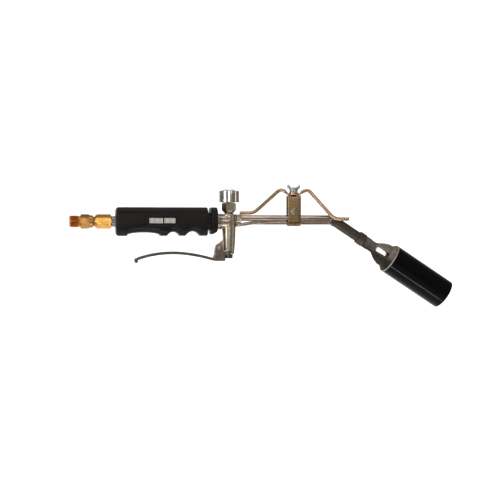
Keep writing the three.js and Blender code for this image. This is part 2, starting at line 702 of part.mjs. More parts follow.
function strapOutline(halfGap, bottomZ, topZ, corner) {
  const points = [[-halfGap, topZ]];
  const steps = 6;
  for (let i = 0; i <= steps; i += 1) {
    const angle = Math.PI + (Math.PI * i) / steps;
    points.push([halfGap * Math.cos(angle), bottomZ + corner + corner * Math.sin(angle)]);
  }
  points.push([halfGap, topZ]);
  return points;
}

// The strap is drawn in the YZ plane, then given its width along X.
function strapSolid(outline, width) {
  const half = width / 2;
  const ring = (x) => outline.map(([y, z]) => new THREE.Vector3(x, y, z));
  return loft([ring(STAND_X - half), ring(STAND_X + half)]);
}

function clampStrap() {
  const outerGap = STRAP_GAP + STRAP_THICKNESS;
  const bottom = PILOT_TUBE_Z - PILOT_TUBE_RADIUS - 0.2;
  const outside = strapSolid(
    strapOutline(outerGap, bottom - STRAP_THICKNESS, STRAP_TOP, outerGap * 0.9),
    STRAP_WIDTH,
  );
  const inside = strapSolid(
    strapOutline(STRAP_GAP, bottom, STRAP_TOP - STRAP_THICKNESS, STRAP_GAP * 0.8),
    STRAP_WIDTH + 2,
  );
  return outside.subtract(inside)
    .subtract(rodAlongZ(BOLT_RADIUS + 0.2, STRAP_TOP - 4, STRAP_TOP + 1, STAND_X))
    .subtract(rodAlongY(2.3, -10, 10, SCREW_X, SCREW_Z, 20));
}

function clampScrew() {
  const head = turnedAlongY([
    [0, -9.4], [2.2, -9.4], [4.2, -8.4], [4.6, -7.2], [4.6, -6.6], [2.1, -6.6], [2.1, 11.6], [0, 11.6],
  ], SCREW_X, SCREW_Z, 20);
  const recess = (halfX, halfZ) => {
    const [low, high] = [SCREW_Z - halfZ, SCREW_Z + halfZ];
    return box(SCREW_X - halfX, SCREW_X + halfX, -10, -8.4, low, high);
  };
  return head.subtract(recess(2.6, 0.4)).subtract(recess(0.4, 2.6));
}

function clampNut() {
  return turnedAlongY(chamferedProfile(4.6, 6.7, 10.2, 0.5), SCREW_X, SCREW_Z, 6)
    .subtract(rodAlongY(2.3, 6, 11, SCREW_X, SCREW_Z, 20));
}

function standBolt() {
  return rodAlongZ(BOLT_RADIUS, BOLT_BASE, BOLT_TOP, STAND_X, 0, 16)
    .add(turnedAlongZ(chamferedProfile(4.1, BOLT_BASE, BOLT_BASE + 3.5, 0.5), STAND_X, 0, 6));
}

function standWasher() {
  return rodAlongZ(6.4, WASHER_BASE, WASHER_BASE + 1.2, STAND_X, 0, 20)
    .subtract(rodAlongZ(BOLT_RADIUS + 0.3, WASHER_BASE - 1, WASHER_BASE + 2, STAND_X, 0, 16));
}

function wingNut() {
  const hub = turnedAlongZ([
    [0, WING_BASE], [6, WING_BASE], [6, WING_BASE + 1.1], [4.6, WING_BASE + 5.3], [0, WING_BASE + 5.3],
  ], STAND_X, 0, 20);
  const wing = (side) => {
    const rings = [];
    const steps = 4;
    for (let i = 0; i <= steps; i += 1) {
      const t = i / steps;
      const out = 3.4 + 6.4 * t ** 0.8;
      const low = WING_BASE + 0.7 + 4.4 * t ** 1.2;
      const high = WING_BASE + 4.7 + 5.8 * Math.sin(t * 1.45);
      const wide = 2.4 - t;
      const ring = [];
      for (let j = 0; j < 8; j += 1) {
        const angle = (j * 2 * Math.PI) / 8;
        ring.push(new THREE.Vector3(
          STAND_X + side * out,
          wide * Math.sin(angle),
          (low + high) / 2 + ((high - low) / 2) * Math.cos(angle),
        ));
      }
      rings.push(ring);
    }
    return loft(rings);
  };
  const made = hub.add(wing(1)).add(wing(-1))
    .subtract(rodAlongZ(BOLT_RADIUS + 0.1, WING_BASE - 1, BOLT_TOP + 1, STAND_X, 0, 16));
  const turned = geometryOf(made).translate(-STAND_X, 0, 0).rotateZ(WING_TURN).translate(STAND_X, 0, 0);
  return closedSolid(turned);
}

// A rounded corner between two straight runs of the rod.
function roundedPath(corners, radius, steps = 4) {
  const path = [corners[0]];
  for (let i = 1; i < corners.length - 1; i += 1) {
    const here = new THREE.Vector2(...corners[i]);
    const back = new THREE.Vector2(...corners[i - 1]).sub(here);
    const ahead = new THREE.Vector2(...corners[i + 1]).sub(here);
    const reach = Math.min(radius, back.length() * 0.45, ahead.length() * 0.45);
    const from = here.clone().addScaledVector(back.normalize(), reach);
    const to = here.clone().addScaledVector(ahead.normalize(), reach);
    for (let j = 0; j <= steps; j += 1) {
      const t = j / steps;
      const a = from.clone().lerp(here, t);
      const b = here.clone().lerp(to, t);
      const point = a.lerp(b, t);
      path.push([point.x, point.y]);
    }
  }
  path.push(corners[corners.length - 1]);
  return path;
}

function standRod() {
  const eyeZ = EYE_BASE + EYE_THICKNESS / 2;
  const eyeTop = EYE_BASE + EYE_THICKNESS;
  const left = roundedPath([
    [STAND_X - 74.2, 11.6], [STAND_X - 54.5, 11.6], [STAND_X - 19.6, 43], [STAND_X - 13.5, 42.6],
    [STAND_X - 8.6, eyeZ], [STAND_X - 4, eyeZ],
  ], 7);
  const right = roundedPath([
    [STAND_X + 4, eyeZ], [STAND_X + 8.6, eyeZ], [STAND_X + 14, 42.2], [STAND_X + 21, 42.6],
    [STAND_X + 56, 3.6], [STAND_X + 76.6, 3.6],
  ], 7);
  const eye = turnedAlongZ([
    [0, EYE_BASE], [EYE_RADIUS, EYE_BASE], [EYE_RADIUS, eyeTop], [0, eyeTop],
  ], STAND_X, 0, 20);
  const slab = box(STAND_X - 11, STAND_X + 11, -12, 12, EYE_BASE - 6, EYE_BASE);
  const above = box(STAND_X - 7.8, STAND_X + 7.8, -12, 12, eyeTop, eyeTop + 9);
  const made = bar(left, ROD_RADIUS, ROD_RADIUS, 12).add(bar(right, ROD_RADIUS, ROD_RADIUS, 12)).add(eye)
    .subtract(slab).subtract(above)
    .subtract(rodAlongZ(BOLT_RADIUS + 0.3, 30, 48, STAND_X, 0, 16));
  return closedSolid(geometryOf(made).translate(-STAND_X, 0, 0).rotateZ(STAND_YAW).translate(STAND_X, 0, 0));
}

function sealingWasher() {
  return rodAlongX(6, -79.9, -78.3, 0, 0, 28).subtract(rodAlongX(3.8, -81, -77, 0, 0, 24));
}

addPart("hose_nipple", hoseNipple(), 0xb98a3a, 1, 0.35);
addPart("coupling_nut", couplingNut(), 0xc9933e, 1, 0.3);
addPart("sealing_washer", sealingWasher(), 0x3a3a3a, 0, 0.8);
addPart("handle_tube", handleTube(), 0x9a958e, 1, 0.4);
addPart("grip_sleeve", gripSleeve(), 0x242220, 0, 0.55);
addPart("grip_label", gripLabel(), 0xc9c9c4, 0, 0.6);
addPart("grip_collar", gripCollar(), 0x242220, 0, 0.55);
addPart("body_ferrule", bodyFerrule(), 0x8f8a84, 1, 0.35);
addPart("valve_body", valveBody(), 0xa89a88, 1, 0.35);
addPart("gland_nut", glandNut(), 0xa89a88, 1, 0.3);
addPart("gland_packing", glandPacking(), 0xe6e2d8, 0, 0.7);
addPart("knob", knob(), 0x9c948c, 1, 0.15);
addPart("knob_spindle", knobSpindle(), 0xb98a3a, 1, 0.3);
addPart("needle", needle(), 0xbfbfbf, 1, 0.2);
addPart("stem_seal", stemSeal(), 0x202020, 0, 0.8);
addPart("trigger_stem", triggerStem(), 0x4a4640, 1, 0.4);
addPart("return_spring", returnSpring(), 0x9c9c9c, 1, 0.3);
addPart("spring_cap", springCap(), 0xb98a3a, 1, 0.35);
addPart("lever", lever(), 0x6b625b, 1, 0.4);
addPart("lever_pin", leverPin(), 0xb0a89e, 1, 0.3);
addPart("main_tube_nut", tubeNut(5.75, MAIN_TUBE_RADIUS + 0.3, 101.7, 108.3, MAIN_TUBE_Z), 0xa89a88, 1, 0.3);
addPart("pilot_tube_nut", tubeNut(3.9, PILOT_TUBE_RADIUS + 0.3, 101.7, 107.4, PILOT_PORT_Z), 0xa89a88, 1, 0.3);
addPart("main_tube", mainTube(), 0x7a6656, 1, 0.3);
addPart("pilot_tube", pilotTube(), 0x8f7f70, 1, 0.3);
addPart("neck_sleeve", neckSleeve(), 0x4a4238, 1, 0.5);
addPart("burner_socket", burnerSocket(), 0x544a40, 1, 0.5);
addPart("main_jet", mainJet(), 0xb98a3a, 1, 0.35);
addPart("jet_holder", jetHolder(), 0x9a8e82, 1, 0.4);
addPart("burner_cage", burnerCage(), 0x7a7068, 1, 0.5);
addPart("flame_holder", flameHolder(), 0x6e655c, 1, 0.5);
addPart("burner_cup", burnerCup(), 0x0a0a0a, 0.3, 0.2);
addPart("clamp_strap", clampStrap(), 0x8c5a35, 1, 0.4);
addPart("clamp_screw", clampScrew(), 0x8fa08f, 1, 0.35);
addPart("clamp_nut", clampNut(), 0x8fa08f, 1, 0.35);
addPart("stand_bolt", standBolt(), 0x9fa8a4, 1, 0.35);
addPart("stand_washer", standWasher(), 0x9fa8a4, 1, 0.35);
addPart("wing_nut", wingNut(), 0x9fb0a8, 1, 0.3);
addPart("stand_rod", standRod(), 0xb8925f, 1, 0.4);

export default group;
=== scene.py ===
import json
import math

import bmesh
import bpy
from mathutils import Matrix, Vector


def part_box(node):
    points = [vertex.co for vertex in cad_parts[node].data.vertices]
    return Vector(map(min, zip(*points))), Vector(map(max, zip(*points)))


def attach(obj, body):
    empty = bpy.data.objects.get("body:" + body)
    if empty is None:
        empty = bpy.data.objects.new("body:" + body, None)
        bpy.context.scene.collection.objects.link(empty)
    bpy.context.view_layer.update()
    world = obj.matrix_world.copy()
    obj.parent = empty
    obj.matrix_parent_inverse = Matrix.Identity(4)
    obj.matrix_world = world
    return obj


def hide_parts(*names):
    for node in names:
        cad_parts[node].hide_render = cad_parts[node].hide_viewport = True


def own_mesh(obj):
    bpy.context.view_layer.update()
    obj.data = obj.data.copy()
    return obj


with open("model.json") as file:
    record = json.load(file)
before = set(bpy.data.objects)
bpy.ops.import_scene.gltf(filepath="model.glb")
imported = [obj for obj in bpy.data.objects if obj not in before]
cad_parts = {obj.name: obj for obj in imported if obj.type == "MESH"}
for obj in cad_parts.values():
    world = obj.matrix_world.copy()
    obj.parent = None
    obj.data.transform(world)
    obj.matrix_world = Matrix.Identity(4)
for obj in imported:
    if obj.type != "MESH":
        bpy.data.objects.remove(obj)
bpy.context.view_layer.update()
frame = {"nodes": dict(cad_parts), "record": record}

# Lengths in this script are millimetres in the frame's own axes, turned into metres where a mesh is made.
MM = 0.001
FULL_TURN = 2 * math.pi
QUARTER_TURN = FULL_TURN / 4
# How near its axis the profile of a solid turned piece starts.
AXIS = 0.01


def box_mm(node):
    """The corners of a CAD node's box."""
    low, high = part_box(node)
    return Vector(low) / MM, Vector(high) / MM


def middle(node):
    low, high = box_mm(node)
    return (low + high) / 2


# ---- places, most of them read from the frame

# The burner's axis runs down from the corner of the bend, and its places are distances from that corner.
BEND = math.radians(33)
BURNER_WAY = Vector((math.cos(BEND), 0, -math.sin(BEND)))
BURNER_UP = Vector((math.sin(BEND), 0, math.cos(BEND)))
cup_low, cup_high = box_mm("burner_cup")
CUP_RADIUS = (cup_high.y - cup_low.y) / 2
cup_lean = Vector((BURNER_UP.x, 0, -BURNER_UP.z)) * CUP_RADIUS
CUP_BACK = Vector((cup_low.x, 0, cup_high.z)) + cup_lean
CUP_FRONT = Vector((cup_high.x, 0, cup_low.z)) - cup_lean
CUP_START = 98.2
CUP_END = CUP_START + (CUP_FRONT - CUP_BACK).length
CORNER = CUP_BACK - BURNER_WAY * CUP_START

VALVE_X = middle("knob_spindle").x
STAND_X = middle("stand_bolt").x
PIN = middle("lever_pin")

main_low, main_high = box_mm("main_tube")
pilot_low = box_mm("pilot_tube")[0]
MAIN_RADIUS = 4.0
MAIN_Z = main_high.z - MAIN_RADIUS
PILOT_RADIUS = 2.5
TUBE_GAP = 0.1
PILOT_Z = MAIN_Z - MAIN_RADIUS - TUBE_GAP - PILOT_RADIUS
PILOT_PORT_Z = middle("pilot_tube_nut").z
BEND_RADIUS = 26.0


def placement(origin, along, up):
    """A frame whose local z runs along the given way and whose local x points up."""
    across = along.cross(up)
    axes = Matrix((up, across, along)).transposed().to_4x4()
    return Matrix.Translation(origin) @ axes


X_WAY, Y_WAY, Z_WAY = Vector((1, 0, 0)), Vector((0, 1, 0)), Vector((0, 0, 1))


def along_x(z=0.0, y=0.0):
    return placement(Vector((0, y, z)), X_WAY, Z_WAY)


def along_y(x, z):
    return placement(Vector((x, 0, z)), Y_WAY, Z_WAY)


def upright(x, y=0.0):
    return placement(Vector((x, y, 0)), Z_WAY, X_WAY)


BURNER = placement(CORNER, BURNER_WAY, BURNER_UP)


# ---- shapes

CREASE = 32


def add_object(name, data):
    made = bpy.data.objects.new(name, data)
    bpy.context.scene.collection.objects.link(made)
    return made


def make_object(name, points, faces, crease=CREASE):
    mesh = bpy.data.meshes.new(name)
    mesh.from_pydata([tuple(p * MM) for p in points], [], faces)
    mesh.update()
    made = add_object(name, mesh)
    fix_normals(mesh)
    smooth(mesh, crease)
    return made


def fix_normals(mesh):
    work = bmesh.new()
    work.from_mesh(mesh)
    bmesh.ops.remove_doubles(work, verts=work.verts, dist=1e-7)
    bmesh.ops.recalc_face_normals(work, faces=work.faces)
    work.to_mesh(mesh)
    work.free()


def round_off(mesh):
    mesh.polygons.foreach_set("use_smooth", [True] * len(mesh.polygons))


def smooth(mesh, crease=CREASE):
    """Smooth shading that stays sharp at corners of more than the crease, in degrees."""
    round_off(mesh)
    mesh.set_sharp_from_angle(angle=math.radians(crease))


def skin(name, rows, loop=False, crease=CREASE):
    """A closed skin over rows of points. A loop joins its last row to its first, as in a bored piece."""
    count = len(rows[0])
    points = [p for row in rows for p in row]
    faces = []
    last = len(rows) if loop else len(rows) - 1
    for i in range(last):
        here, there = i * count, ((i + 1) % len(rows)) * count
        for j in range(count):
            k = (j + 1) % count
            faces.append((here + j, here + k, there + k, there + j))
    if not loop:
        faces.append(tuple(range(count - 1, -1, -1)))
        faces.append(tuple(range((len(rows) - 1) * count, len(rows) * count)))
    return make_object(name, points, faces, crease)


def fillet(outline, radius, steps=4, closed=False):
    """Rounds the corners of a flat outline of (a, b) pairs."""
    count = len(outline)
    rounded = []
    for i, corner in enumerate(outline):
        if not closed and i in (0, count - 1):
            rounded.append(tuple(corner))
            continue
        here = Vector(corner)
        back = Vector(outline[i - 1]) - here
        ahead = Vector(outline[(i + 1) % count]) - here
        reach = min(radius, back.length * 0.48, ahead.length * 0.48)
        start = here + back.normalized() * reach
        end = here + ahead.normalized() * reach
        for step in range(steps + 1):
            t = step / steps
            rounded.append(tuple(start.lerp(here, t).lerp(here.lerp(end, t), t)))
    return rounded


def around(count):
    """Even angles round a circle."""
    return [FULL_TURN * j / count for j in range(count)]


def turned(name, profile, place, segments=96, loop=False, limit=None, crease=CREASE):
    """Turns (radius, along) pairs about an axis. A radius and its limit may depend on the angle."""
    rows = []
    for radius, along in profile:
        row = []
        for angle in around(segments):
            r = radius(angle) if callable(radius) else radius
            if limit:
                r = min(r, limit(angle))
            row.append(place @ Vector((r * math.cos(angle), r * math.sin(angle), along)))
        rows.append(row)
    return skin(name, rows, loop, crease)


def rod_profile(radius, start, end, edge=0.0):
    profile = [(AXIS, start), (radius, start), (radius, end), (AXIS, end)]
    return fillet(profile, edge) if edge else profile


def ring_profile(bore, radius, start, end):
    return [(bore, start), (radius, start), (radius, end), (bore, end)]


def hexagon(flats, turn=0.0):
    """The radius of a hexagon at an angle, with a corner at the turn given."""
    return lambda angle: flats / 2 / math.cos(((angle - turn) % (math.pi / 3)) - math.pi / 6)


def signed_power(value, power):
    return math.copysign(abs(value) ** power, value)


def bored(name, profile, edge, place, segments=96, limit=None):
    """A turned piece with a hole through it, from a closed profile with eased edges."""
    return turned(name, fillet(profile, edge, closed=True), place, segments, loop=True, limit=limit)


def swept(name, path, section, segments=40, crease=40):
    """A bar along a path in the XZ plane. section(share) gives its half height, half depth and squareness."""
    rows = []
    for i, (x, z) in enumerate(path):
        before, after = Vector(path[max(i - 1, 0)]), Vector(path[min(i + 1, len(path) - 1)])
        way = (after - before).normalized()
        high, deep, power = section(i / (len(path) - 1))
        row = []
        for angle in around(segments):
            c, s = math.cos(angle), math.sin(angle)
            up = high * signed_power(c, power)
            side = deep * signed_power(s, power)
            row.append(Vector((x - way.y * up, side, z + way.x * up)))
        rows.append(row)
    return skin(name, rows, crease=crease)


def prism(name, near, far):
    """A solid between two outlines of the same number of points."""
    count = len(near)
    faces = [tuple(range(count)), tuple(range(2 * count - 1, count - 1, -1))]
    faces += [(j, (j + 1) % count, (j + 1) % count + count, j + count) for j in range(count)]
    return make_object(name, near + far, faces)


def rectangle(x0, x1, z0, z1):
    return [(x0, z0), (x1, z0), (x1, z1), (x0, z1)]


def plate(name, outline, thickness, centre_y=0.0, edge=0.5):
    """A flat piece with an outline of (x, z) pairs, standing in the XZ plane, with eased edges."""
    near, far = ([Vector((x, y, z)) for x, z in outline]
                 for y in (centre_y - thickness / 2, centre_y + thickness / 2))
    made = prism(name, near, far)
    if edge:
        soften(made, edge)
    return made


def modify(made, name, kind, **settings):
    modifier = made.modifiers.new(name, kind)
    for key, value in settings.items():
        setattr(modifier, key, value)


def soften(made, width, segments=3, angle=38):
    """Eases the edges sharper than an angle in degrees."""
    modify(made, "eased_edges", "BEVEL", width=width * MM, segments=segments, limit_method="ANGLE",
           angle_limit=math.radians(angle), harden_normals=True)


def cut(made, *cutters):
    """Takes each cutter out of the piece and removes the cutter."""
    for cutter in cutters:
        modify(made, "cut", "BOOLEAN", operation="DIFFERENCE", solver="EXACT", object=cutter)
    freeze(made)
    for cutter in cutters:
        bpy.data.objects.remove(cutter)
    smooth(made.data)


def freeze(made):
    """Writes the piece's modifiers into its mesh."""
    depsgraph = bpy.context.evaluated_depsgraph_get()
    depsgraph.update()
    mesh = bpy.data.meshes.new_from_object(made.evaluated_get(depsgraph))
    made.modifiers.clear()
    made.data = mesh


def join(name, *parts):
    """One object out of several, each with its own modifiers written in."""
    for part in parts:
        if part.modifiers:
            freeze(part)
    with bpy.context.temp_override(active_object=parts[0], selected_editable_objects=list(parts)):
        bpy.ops.object.join()
    parts[0].name = name
    return parts[0]


def cast_together(made, voxel, rounds=5):
    """Melts joined shapes into one casting with soft inner corners."""
    modify(made, "casting", "REMESH", mode="VOXEL", voxel_size=voxel * MM, use_smooth_shade=True)
    modify(made, "soft_corners", "SMOOTH", factor=0.6, iterations=rounds)
    freeze(made)
    round_off(made.data)


# ---- materials

class Look:
    """A procedural material: one Principled shader and short ways to vary it."""

    def __init__(self, name):
        self.name = name
        self.material = bpy.data.materials.new(name)
        self.material.use_nodes = True
        self.nodes = self.material.node_tree.nodes
        self.links = self.material.node_tree.links
        self.shader = self.nodes["Principled BSDF"]
        self.place = self.nodes.new("ShaderNodeTexCoord").outputs["Object"]

    def feed(self, socket, value):
        """Sets a socket to a number or a colour, or links it to another socket."""
        if isinstance(value, bpy.types.NodeSocket):
            self.links.new(value, socket)
        elif socket.type == "RGBA" and len(value) == 3:
            socket.default_value = (*value, 1.0)
        else:
            socket.default_value = value

    def put(self, key, value):
        self.feed(self.shader.inputs[key], value)

    def tint(self, share, colour):
        """Lays a share of another colour over the colour that the shader has."""
        plain = self.shader.inputs["Base Color"].links[0].from_socket
        self.put("Base Color", self.blend(share, plain, colour))

    def add(self, kind, output, inputs, **settings):
        """Adds a node with its inputs and settings, and returns one of its outputs."""
        node = self.nodes.new("ShaderNode" + kind)
        for key, value in settings.items():
            setattr(node, key, value)
        for key, value in inputs.items():
            self.feed(node.inputs[key], value)
        return node.outputs[output]

    def stretched(self, stretch):
        return self.add("Mapping", "Vector", {"Vector": self.place, "Scale": stretch})

    def noise(self, size, detail=4.0, roughness=0.6, stretch=None, distortion=0.0):
        """Noise whose features are about size millimetres across."""
        place = self.stretched(stretch) if stretch else self.place
        inputs = {"Vector": place, "Scale": 1 / (size * MM), "Detail": detail, "Roughness": roughness}
        return self.add("TexNoise", "Fac", {**inputs, "Distortion": distortion})

    def cells(self, size):
        return self.add("TexVoronoi", "Distance", {"Vector": self.place, "Scale": 1 / (size * MM)})

    def ramp(self, factor, low, high, dark=0.0, light=1.0):
        """Goes from dark to light while the factor goes from low to high."""
        inputs = {"Value": factor, "From Min": low, "From Max": high, "To Min": dark, "To Max": light}
        return self.add("MapRange", "Result", inputs, clamp=True)

    def times(self, a, b):
        return self.add("Math", 0, {0: a, 1: b}, operation="MULTIPLY")

    def plus(self, a, b):
        return self.add("Math", 0, {0: a, 1: b}, operation="ADD")

    def blend(self, factor, first, second):
        return self.add("Mix", 2, {0: factor, 6: first, 7: second}, data_type="RGBA")

    def edges(self, low=0.51, high=0.56):
        """1 on sharp outer edges, 0 elsewhere: worn edges in most looks, painted highlights in some."""
        return self.ramp(self.add("NewGeometry", "Pointiness", {}), low, high)

    def painted_corner_shade(self, reach):
        """Painted shade from ambient occlusion: 0 in open places, 1 in corners."""
        open_sky = self.add("AmbientOcclusion", "AO", {"Distance": reach * MM}, samples=12)
        return self.ramp(open_sky, 0.35, 0.9, 1.0, 0.0)

    def aged(self, body, painted_shade, painted_shade_share, bare, bare_share, reach=1.5):
        """A body colour with painted shade darkening its corners and a lighter colour on its sharp edges,
        which is bare metal on worn edges and a painted highlight on the chromated zinc.
        """
        corner = self.blend(self.times(self.painted_corner_shade(reach), painted_shade_share), body, painted_shade)
        return self.blend(self.times(self.edges(), bare_share), corner, bare)

    def along(self, way):
        """The distance in millimetres along a direction."""
        return self.add("VectorMath", "Value", {0: self.place, 1: way / MM}, operation="DOT_PRODUCT")

    def bump(self, height, depth, strength=1.0):
        """Relief of the given depth in millimetres."""
        inputs = {"Height": height, "Distance": depth * MM, "Strength": strength}
        self.put("Normal", self.add("Bump", "Normal", inputs))


def tone(colour, share):
    return tuple(min(1.0, c * share) for c in colour)


def metal(name, colour, stain, roughness, relief, grain=0.5, stain_share=0.5, streak=None):
    """A metal with cloudy staining, uneven gloss, fine relief and brighter worn edges."""
    look = Look(name)
    clouds = look.ramp(look.noise(9, 6, 0.65, distortion=0.4), 0.42, 0.68)
    fine = look.noise(grain, 5, 0.7, streak)
    stained = look.blend(look.times(clouds, stain_share), colour, stain)
    # Painted shade darkens the corners; the lighter edges are wear.
    look.put("Base Color", look.aged(stained, tone(stain, 0.35), 0.6, tone(colour, 1.35), 0.45))
    look.put("Metallic", 1.0)
    spread = look.plus(look.times(fine, 0.16), look.times(clouds, 0.12))
    look.put("Roughness", look.plus(spread, roughness - 0.1))
    look.bump(fine, relief)
    return look


# Stretched noise makes drawing lines along X, and upright ones on the knob.
DRAWN = (1, 12, 12)
UPRIGHT_GRAIN = (6, 6, 1)


def make_looks():
    made = [
        brass(),
        metal("brass_bright", (0.84, 0.44, 0.12), (0.6, 0.29, 0.07), 0.28, 0.006, 0.3, 0.4, DRAWN),
        metal("nickel", (0.52, 0.45, 0.36), (0.3, 0.245, 0.175), 0.3, 0.03, 1.1, 0.55),
        metal("dull_nickel", (0.3, 0.25, 0.185), (0.16, 0.125, 0.085), 0.34, 0.03, 1.1, 0.55),
        metal("chrome", (0.72, 0.69, 0.67), (0.5, 0.46, 0.43), 0.19, 0.0008, 0.5, 0.3, UPRIGHT_GRAIN),
        metal("steel_tube", (0.3, 0.27, 0.25), (0.2, 0.175, 0.155), 0.34, 0.006, 0.4, 0.5, DRAWN),
        metal("stainless", (0.6, 0.59, 0.57), (0.4, 0.38, 0.35), 0.26, 0.01, 0.4, 0.4),
        metal("dark_steel", (0.13, 0.115, 0.095), (0.05, 0.042, 0.034), 0.38, 0.03, 0.5),
        lever_steel(),
        tube_steel(),
        yellow_zinc("yellow_zinc", (0.16, 0.056, 0.02), (0.1, 0.03, 0.011)),
        yellow_zinc("pale_zinc", (0.56, 0.4, 0.27), (0.42, 0.28, 0.18)),
        silver_zinc("silver_zinc", (0.62, 0.68, 0.67), (0.4, 0.44, 0.43)),
        silver_zinc("dull_zinc", (0.34, 0.34, 0.27), (0.17, 0.16, 0.11)),
        scorched_steel(),
        cast_steel(),
        black_enamel(),
        grip_plastic(),
        label_inlay(),
        soft_look("seal_rubber", (0.02, 0.02, 0.02), 0.75),
        soft_look("packing", (0.75, 0.72, 0.64), 0.5),
    ]
    return {look.name: look.material for look in made}


def brass():
    """Dull brass with a painted coppery reflection on the hose thread, where its grooves light each other."""
    look = metal("brass", (0.5, 0.27, 0.08), (0.32, 0.16, 0.045), 0.3, 0.01, 0.35, 0.5, DRAWN)
    thread_end = box_mm("hose_nipple")[0].x + 13.5
    # Painted reflection: the hose thread is tinted coppery orange.
    look.tint(look.ramp(look.along(X_WAY), thread_end, thread_end + 2, 0.5, 0.0), (0.75, 0.27, 0.07))
    return look


def lever_steel():
    """Nickelled steel, darker along the finger strip than at the cheeks."""
    look = metal("lever_steel", (0.25, 0.205, 0.17), (0.13, 0.105, 0.085), 0.3, 0.01, 0.5, 0.5, (1, 10, 10))
    look.tint(look.ramp(look.along(X_WAY), PIN.x - 12, PIN.x - 5, 0.75, 0.0), (0.09, 0.075, 0.065))
    return look


def tube_steel():
    """Drawn steel tube with long brown tints and a smooth, slightly hazy plating."""
    look = Look("tube_steel")
    tint = look.noise(5, 3, 0.5, (0.15, 1, 1))
    brown = look.ramp(tint, 0.38, 0.62)
    look.put("Base Color", look.blend(brown, (0.46, 0.38, 0.33), (0.3, 0.21, 0.15)))
    look.put("Metallic", 1.0)
    look.put("Roughness", look.ramp(tint, 0.3, 0.7, 0.2, 0.28))
    look.bump(tint, 0.004)
    return look


def soft_look(name, colour, roughness):
    """A matt, mottled seal material."""
    look = Look(name)
    mottle = look.noise(0.8)
    look.put("Base Color", look.blend(mottle, colour, tuple(c * 1.5 + 0.01 for c in colour)))
    look.put("Roughness", look.ramp(mottle, 0.3, 0.7, roughness - 0.1, roughness + 0.1))
    look.bump(mottle, 0.03)
    return look


def yellow_zinc(name, warm, rosy):
    """Zinc with a golden chromate film that turns brown, rosy and olive from place to place."""
    look = Look(name)
    drift = look.noise(7, 4, 0.6, distortion=1.2)
    patches = look.noise(2.2, 5, 0.7)
    golden = look.blend(look.ramp(drift, 0.4, 0.62), warm, rosy)
    red, green, blue = warm
    greener = tone((red, green * 1.3, blue), 0.75)
    olive = look.blend(look.ramp(patches, 0.56, 0.74, 0, 0.7), golden, greener)
    # Painted shade darkens its corners, and its sharp edges get a painted orange highlight.
    look.put("Base Color", look.aged(olive, (0.1, 0.05, 0.02), 0.6, (0.85, 0.62, 0.36), 0.4))
    look.put("Metallic", 1.0)
    look.put("Roughness", look.ramp(patches, 0.3, 0.75, 0.18, 0.36))
    look.bump(look.noise(1.6, 3, 0.5), 0.004)
    return look


def silver_zinc(name, bright, dull):
    """Silvery zinc with a duller bloom."""
    look = Look(name)
    bloom = look.noise(3, 5, 0.65)
    body = look.blend(look.ramp(bloom, 0.42, 0.66), bright, dull)
    # Painted shade darkens its corners; the pale edges are wear.
    look.put("Base Color", look.aged(body, (0.08, 0.09, 0.08), 0.65, (0.85, 0.88, 0.88), 0.4))
    look.put("Metallic", 1.0)
    look.put("Roughness", look.ramp(bloom, 0.3, 0.7, 0.26, 0.5))
    look.bump(look.noise(0.3, 4, 0.7), 0.015)
    return look


def scorched_steel():
    """Steel browned by heat, in olive clouds with rusty specks."""
    look = Look("scorched_steel")
    clouds = look.noise(5, 6, 0.7, distortion=0.6)
    specks = look.noise(0.9, 5, 0.75)
    olive = look.blend(look.ramp(clouds, 0.35, 0.65), (0.115, 0.097, 0.075), (0.06, 0.048, 0.036))
    rusty = look.blend(look.ramp(specks, 0.58, 0.72, 0, 0.55), olive, (0.22, 0.13, 0.07))
    # Painted shade darkens its corners; the lighter edges are wear.
    look.put("Base Color", look.aged(rusty, (0.02, 0.015, 0.01), 0.7, (0.3, 0.26, 0.2), 0.3, 2.5))
    look.put("Metallic", 0.75)
    look.put("Roughness", look.ramp(specks, 0.3, 0.7, 0.42, 0.62))
    look.bump(look.noise(0.5, 5, 0.75), 0.05)
    return look


def cast_steel():
    """Sand-cast steel with a grainy skin and brown and grey heat stains, with painted shade on its lower side
    and in its corners.
    """
    look = Look("cast_steel")
    clouds = look.noise(6, 5, 0.65, distortion=0.5)
    grit = look.noise(0.55, 6, 0.8)
    warm = look.blend(look.ramp(clouds, 0.38, 0.62), (0.31, 0.26, 0.225), (0.17, 0.14, 0.12))
    pitted = look.blend(look.ramp(grit, 0.6, 0.75, 0, 0.6), warm, (0.07, 0.055, 0.045))
    # Painted shade darkens its corners; the lighter edges are wear.
    worn_and_shaded = look.aged(pitted, (0.03, 0.025, 0.02), 0.7, (0.5, 0.45, 0.41), 0.5, 3)
    # Painted shade: below the burner's axis the casting turns near black.
    axis_height = CORNER.dot(BURNER_UP)
    ragged = look.plus(look.along(BURNER_UP), look.times(clouds, 6))
    painted_underside_shade = look.ramp(ragged, axis_height - 4, axis_height + 7, 0.95, 0.0)
    look.put("Base Color", look.blend(painted_underside_shade, worn_and_shaded, (0.02, 0.016, 0.013)))
    look.put("Metallic", 0.7)
    look.put("Roughness", look.ramp(grit, 0.3, 0.7, 0.45, 0.68))
    look.bump(grit, 0.12)
    return look


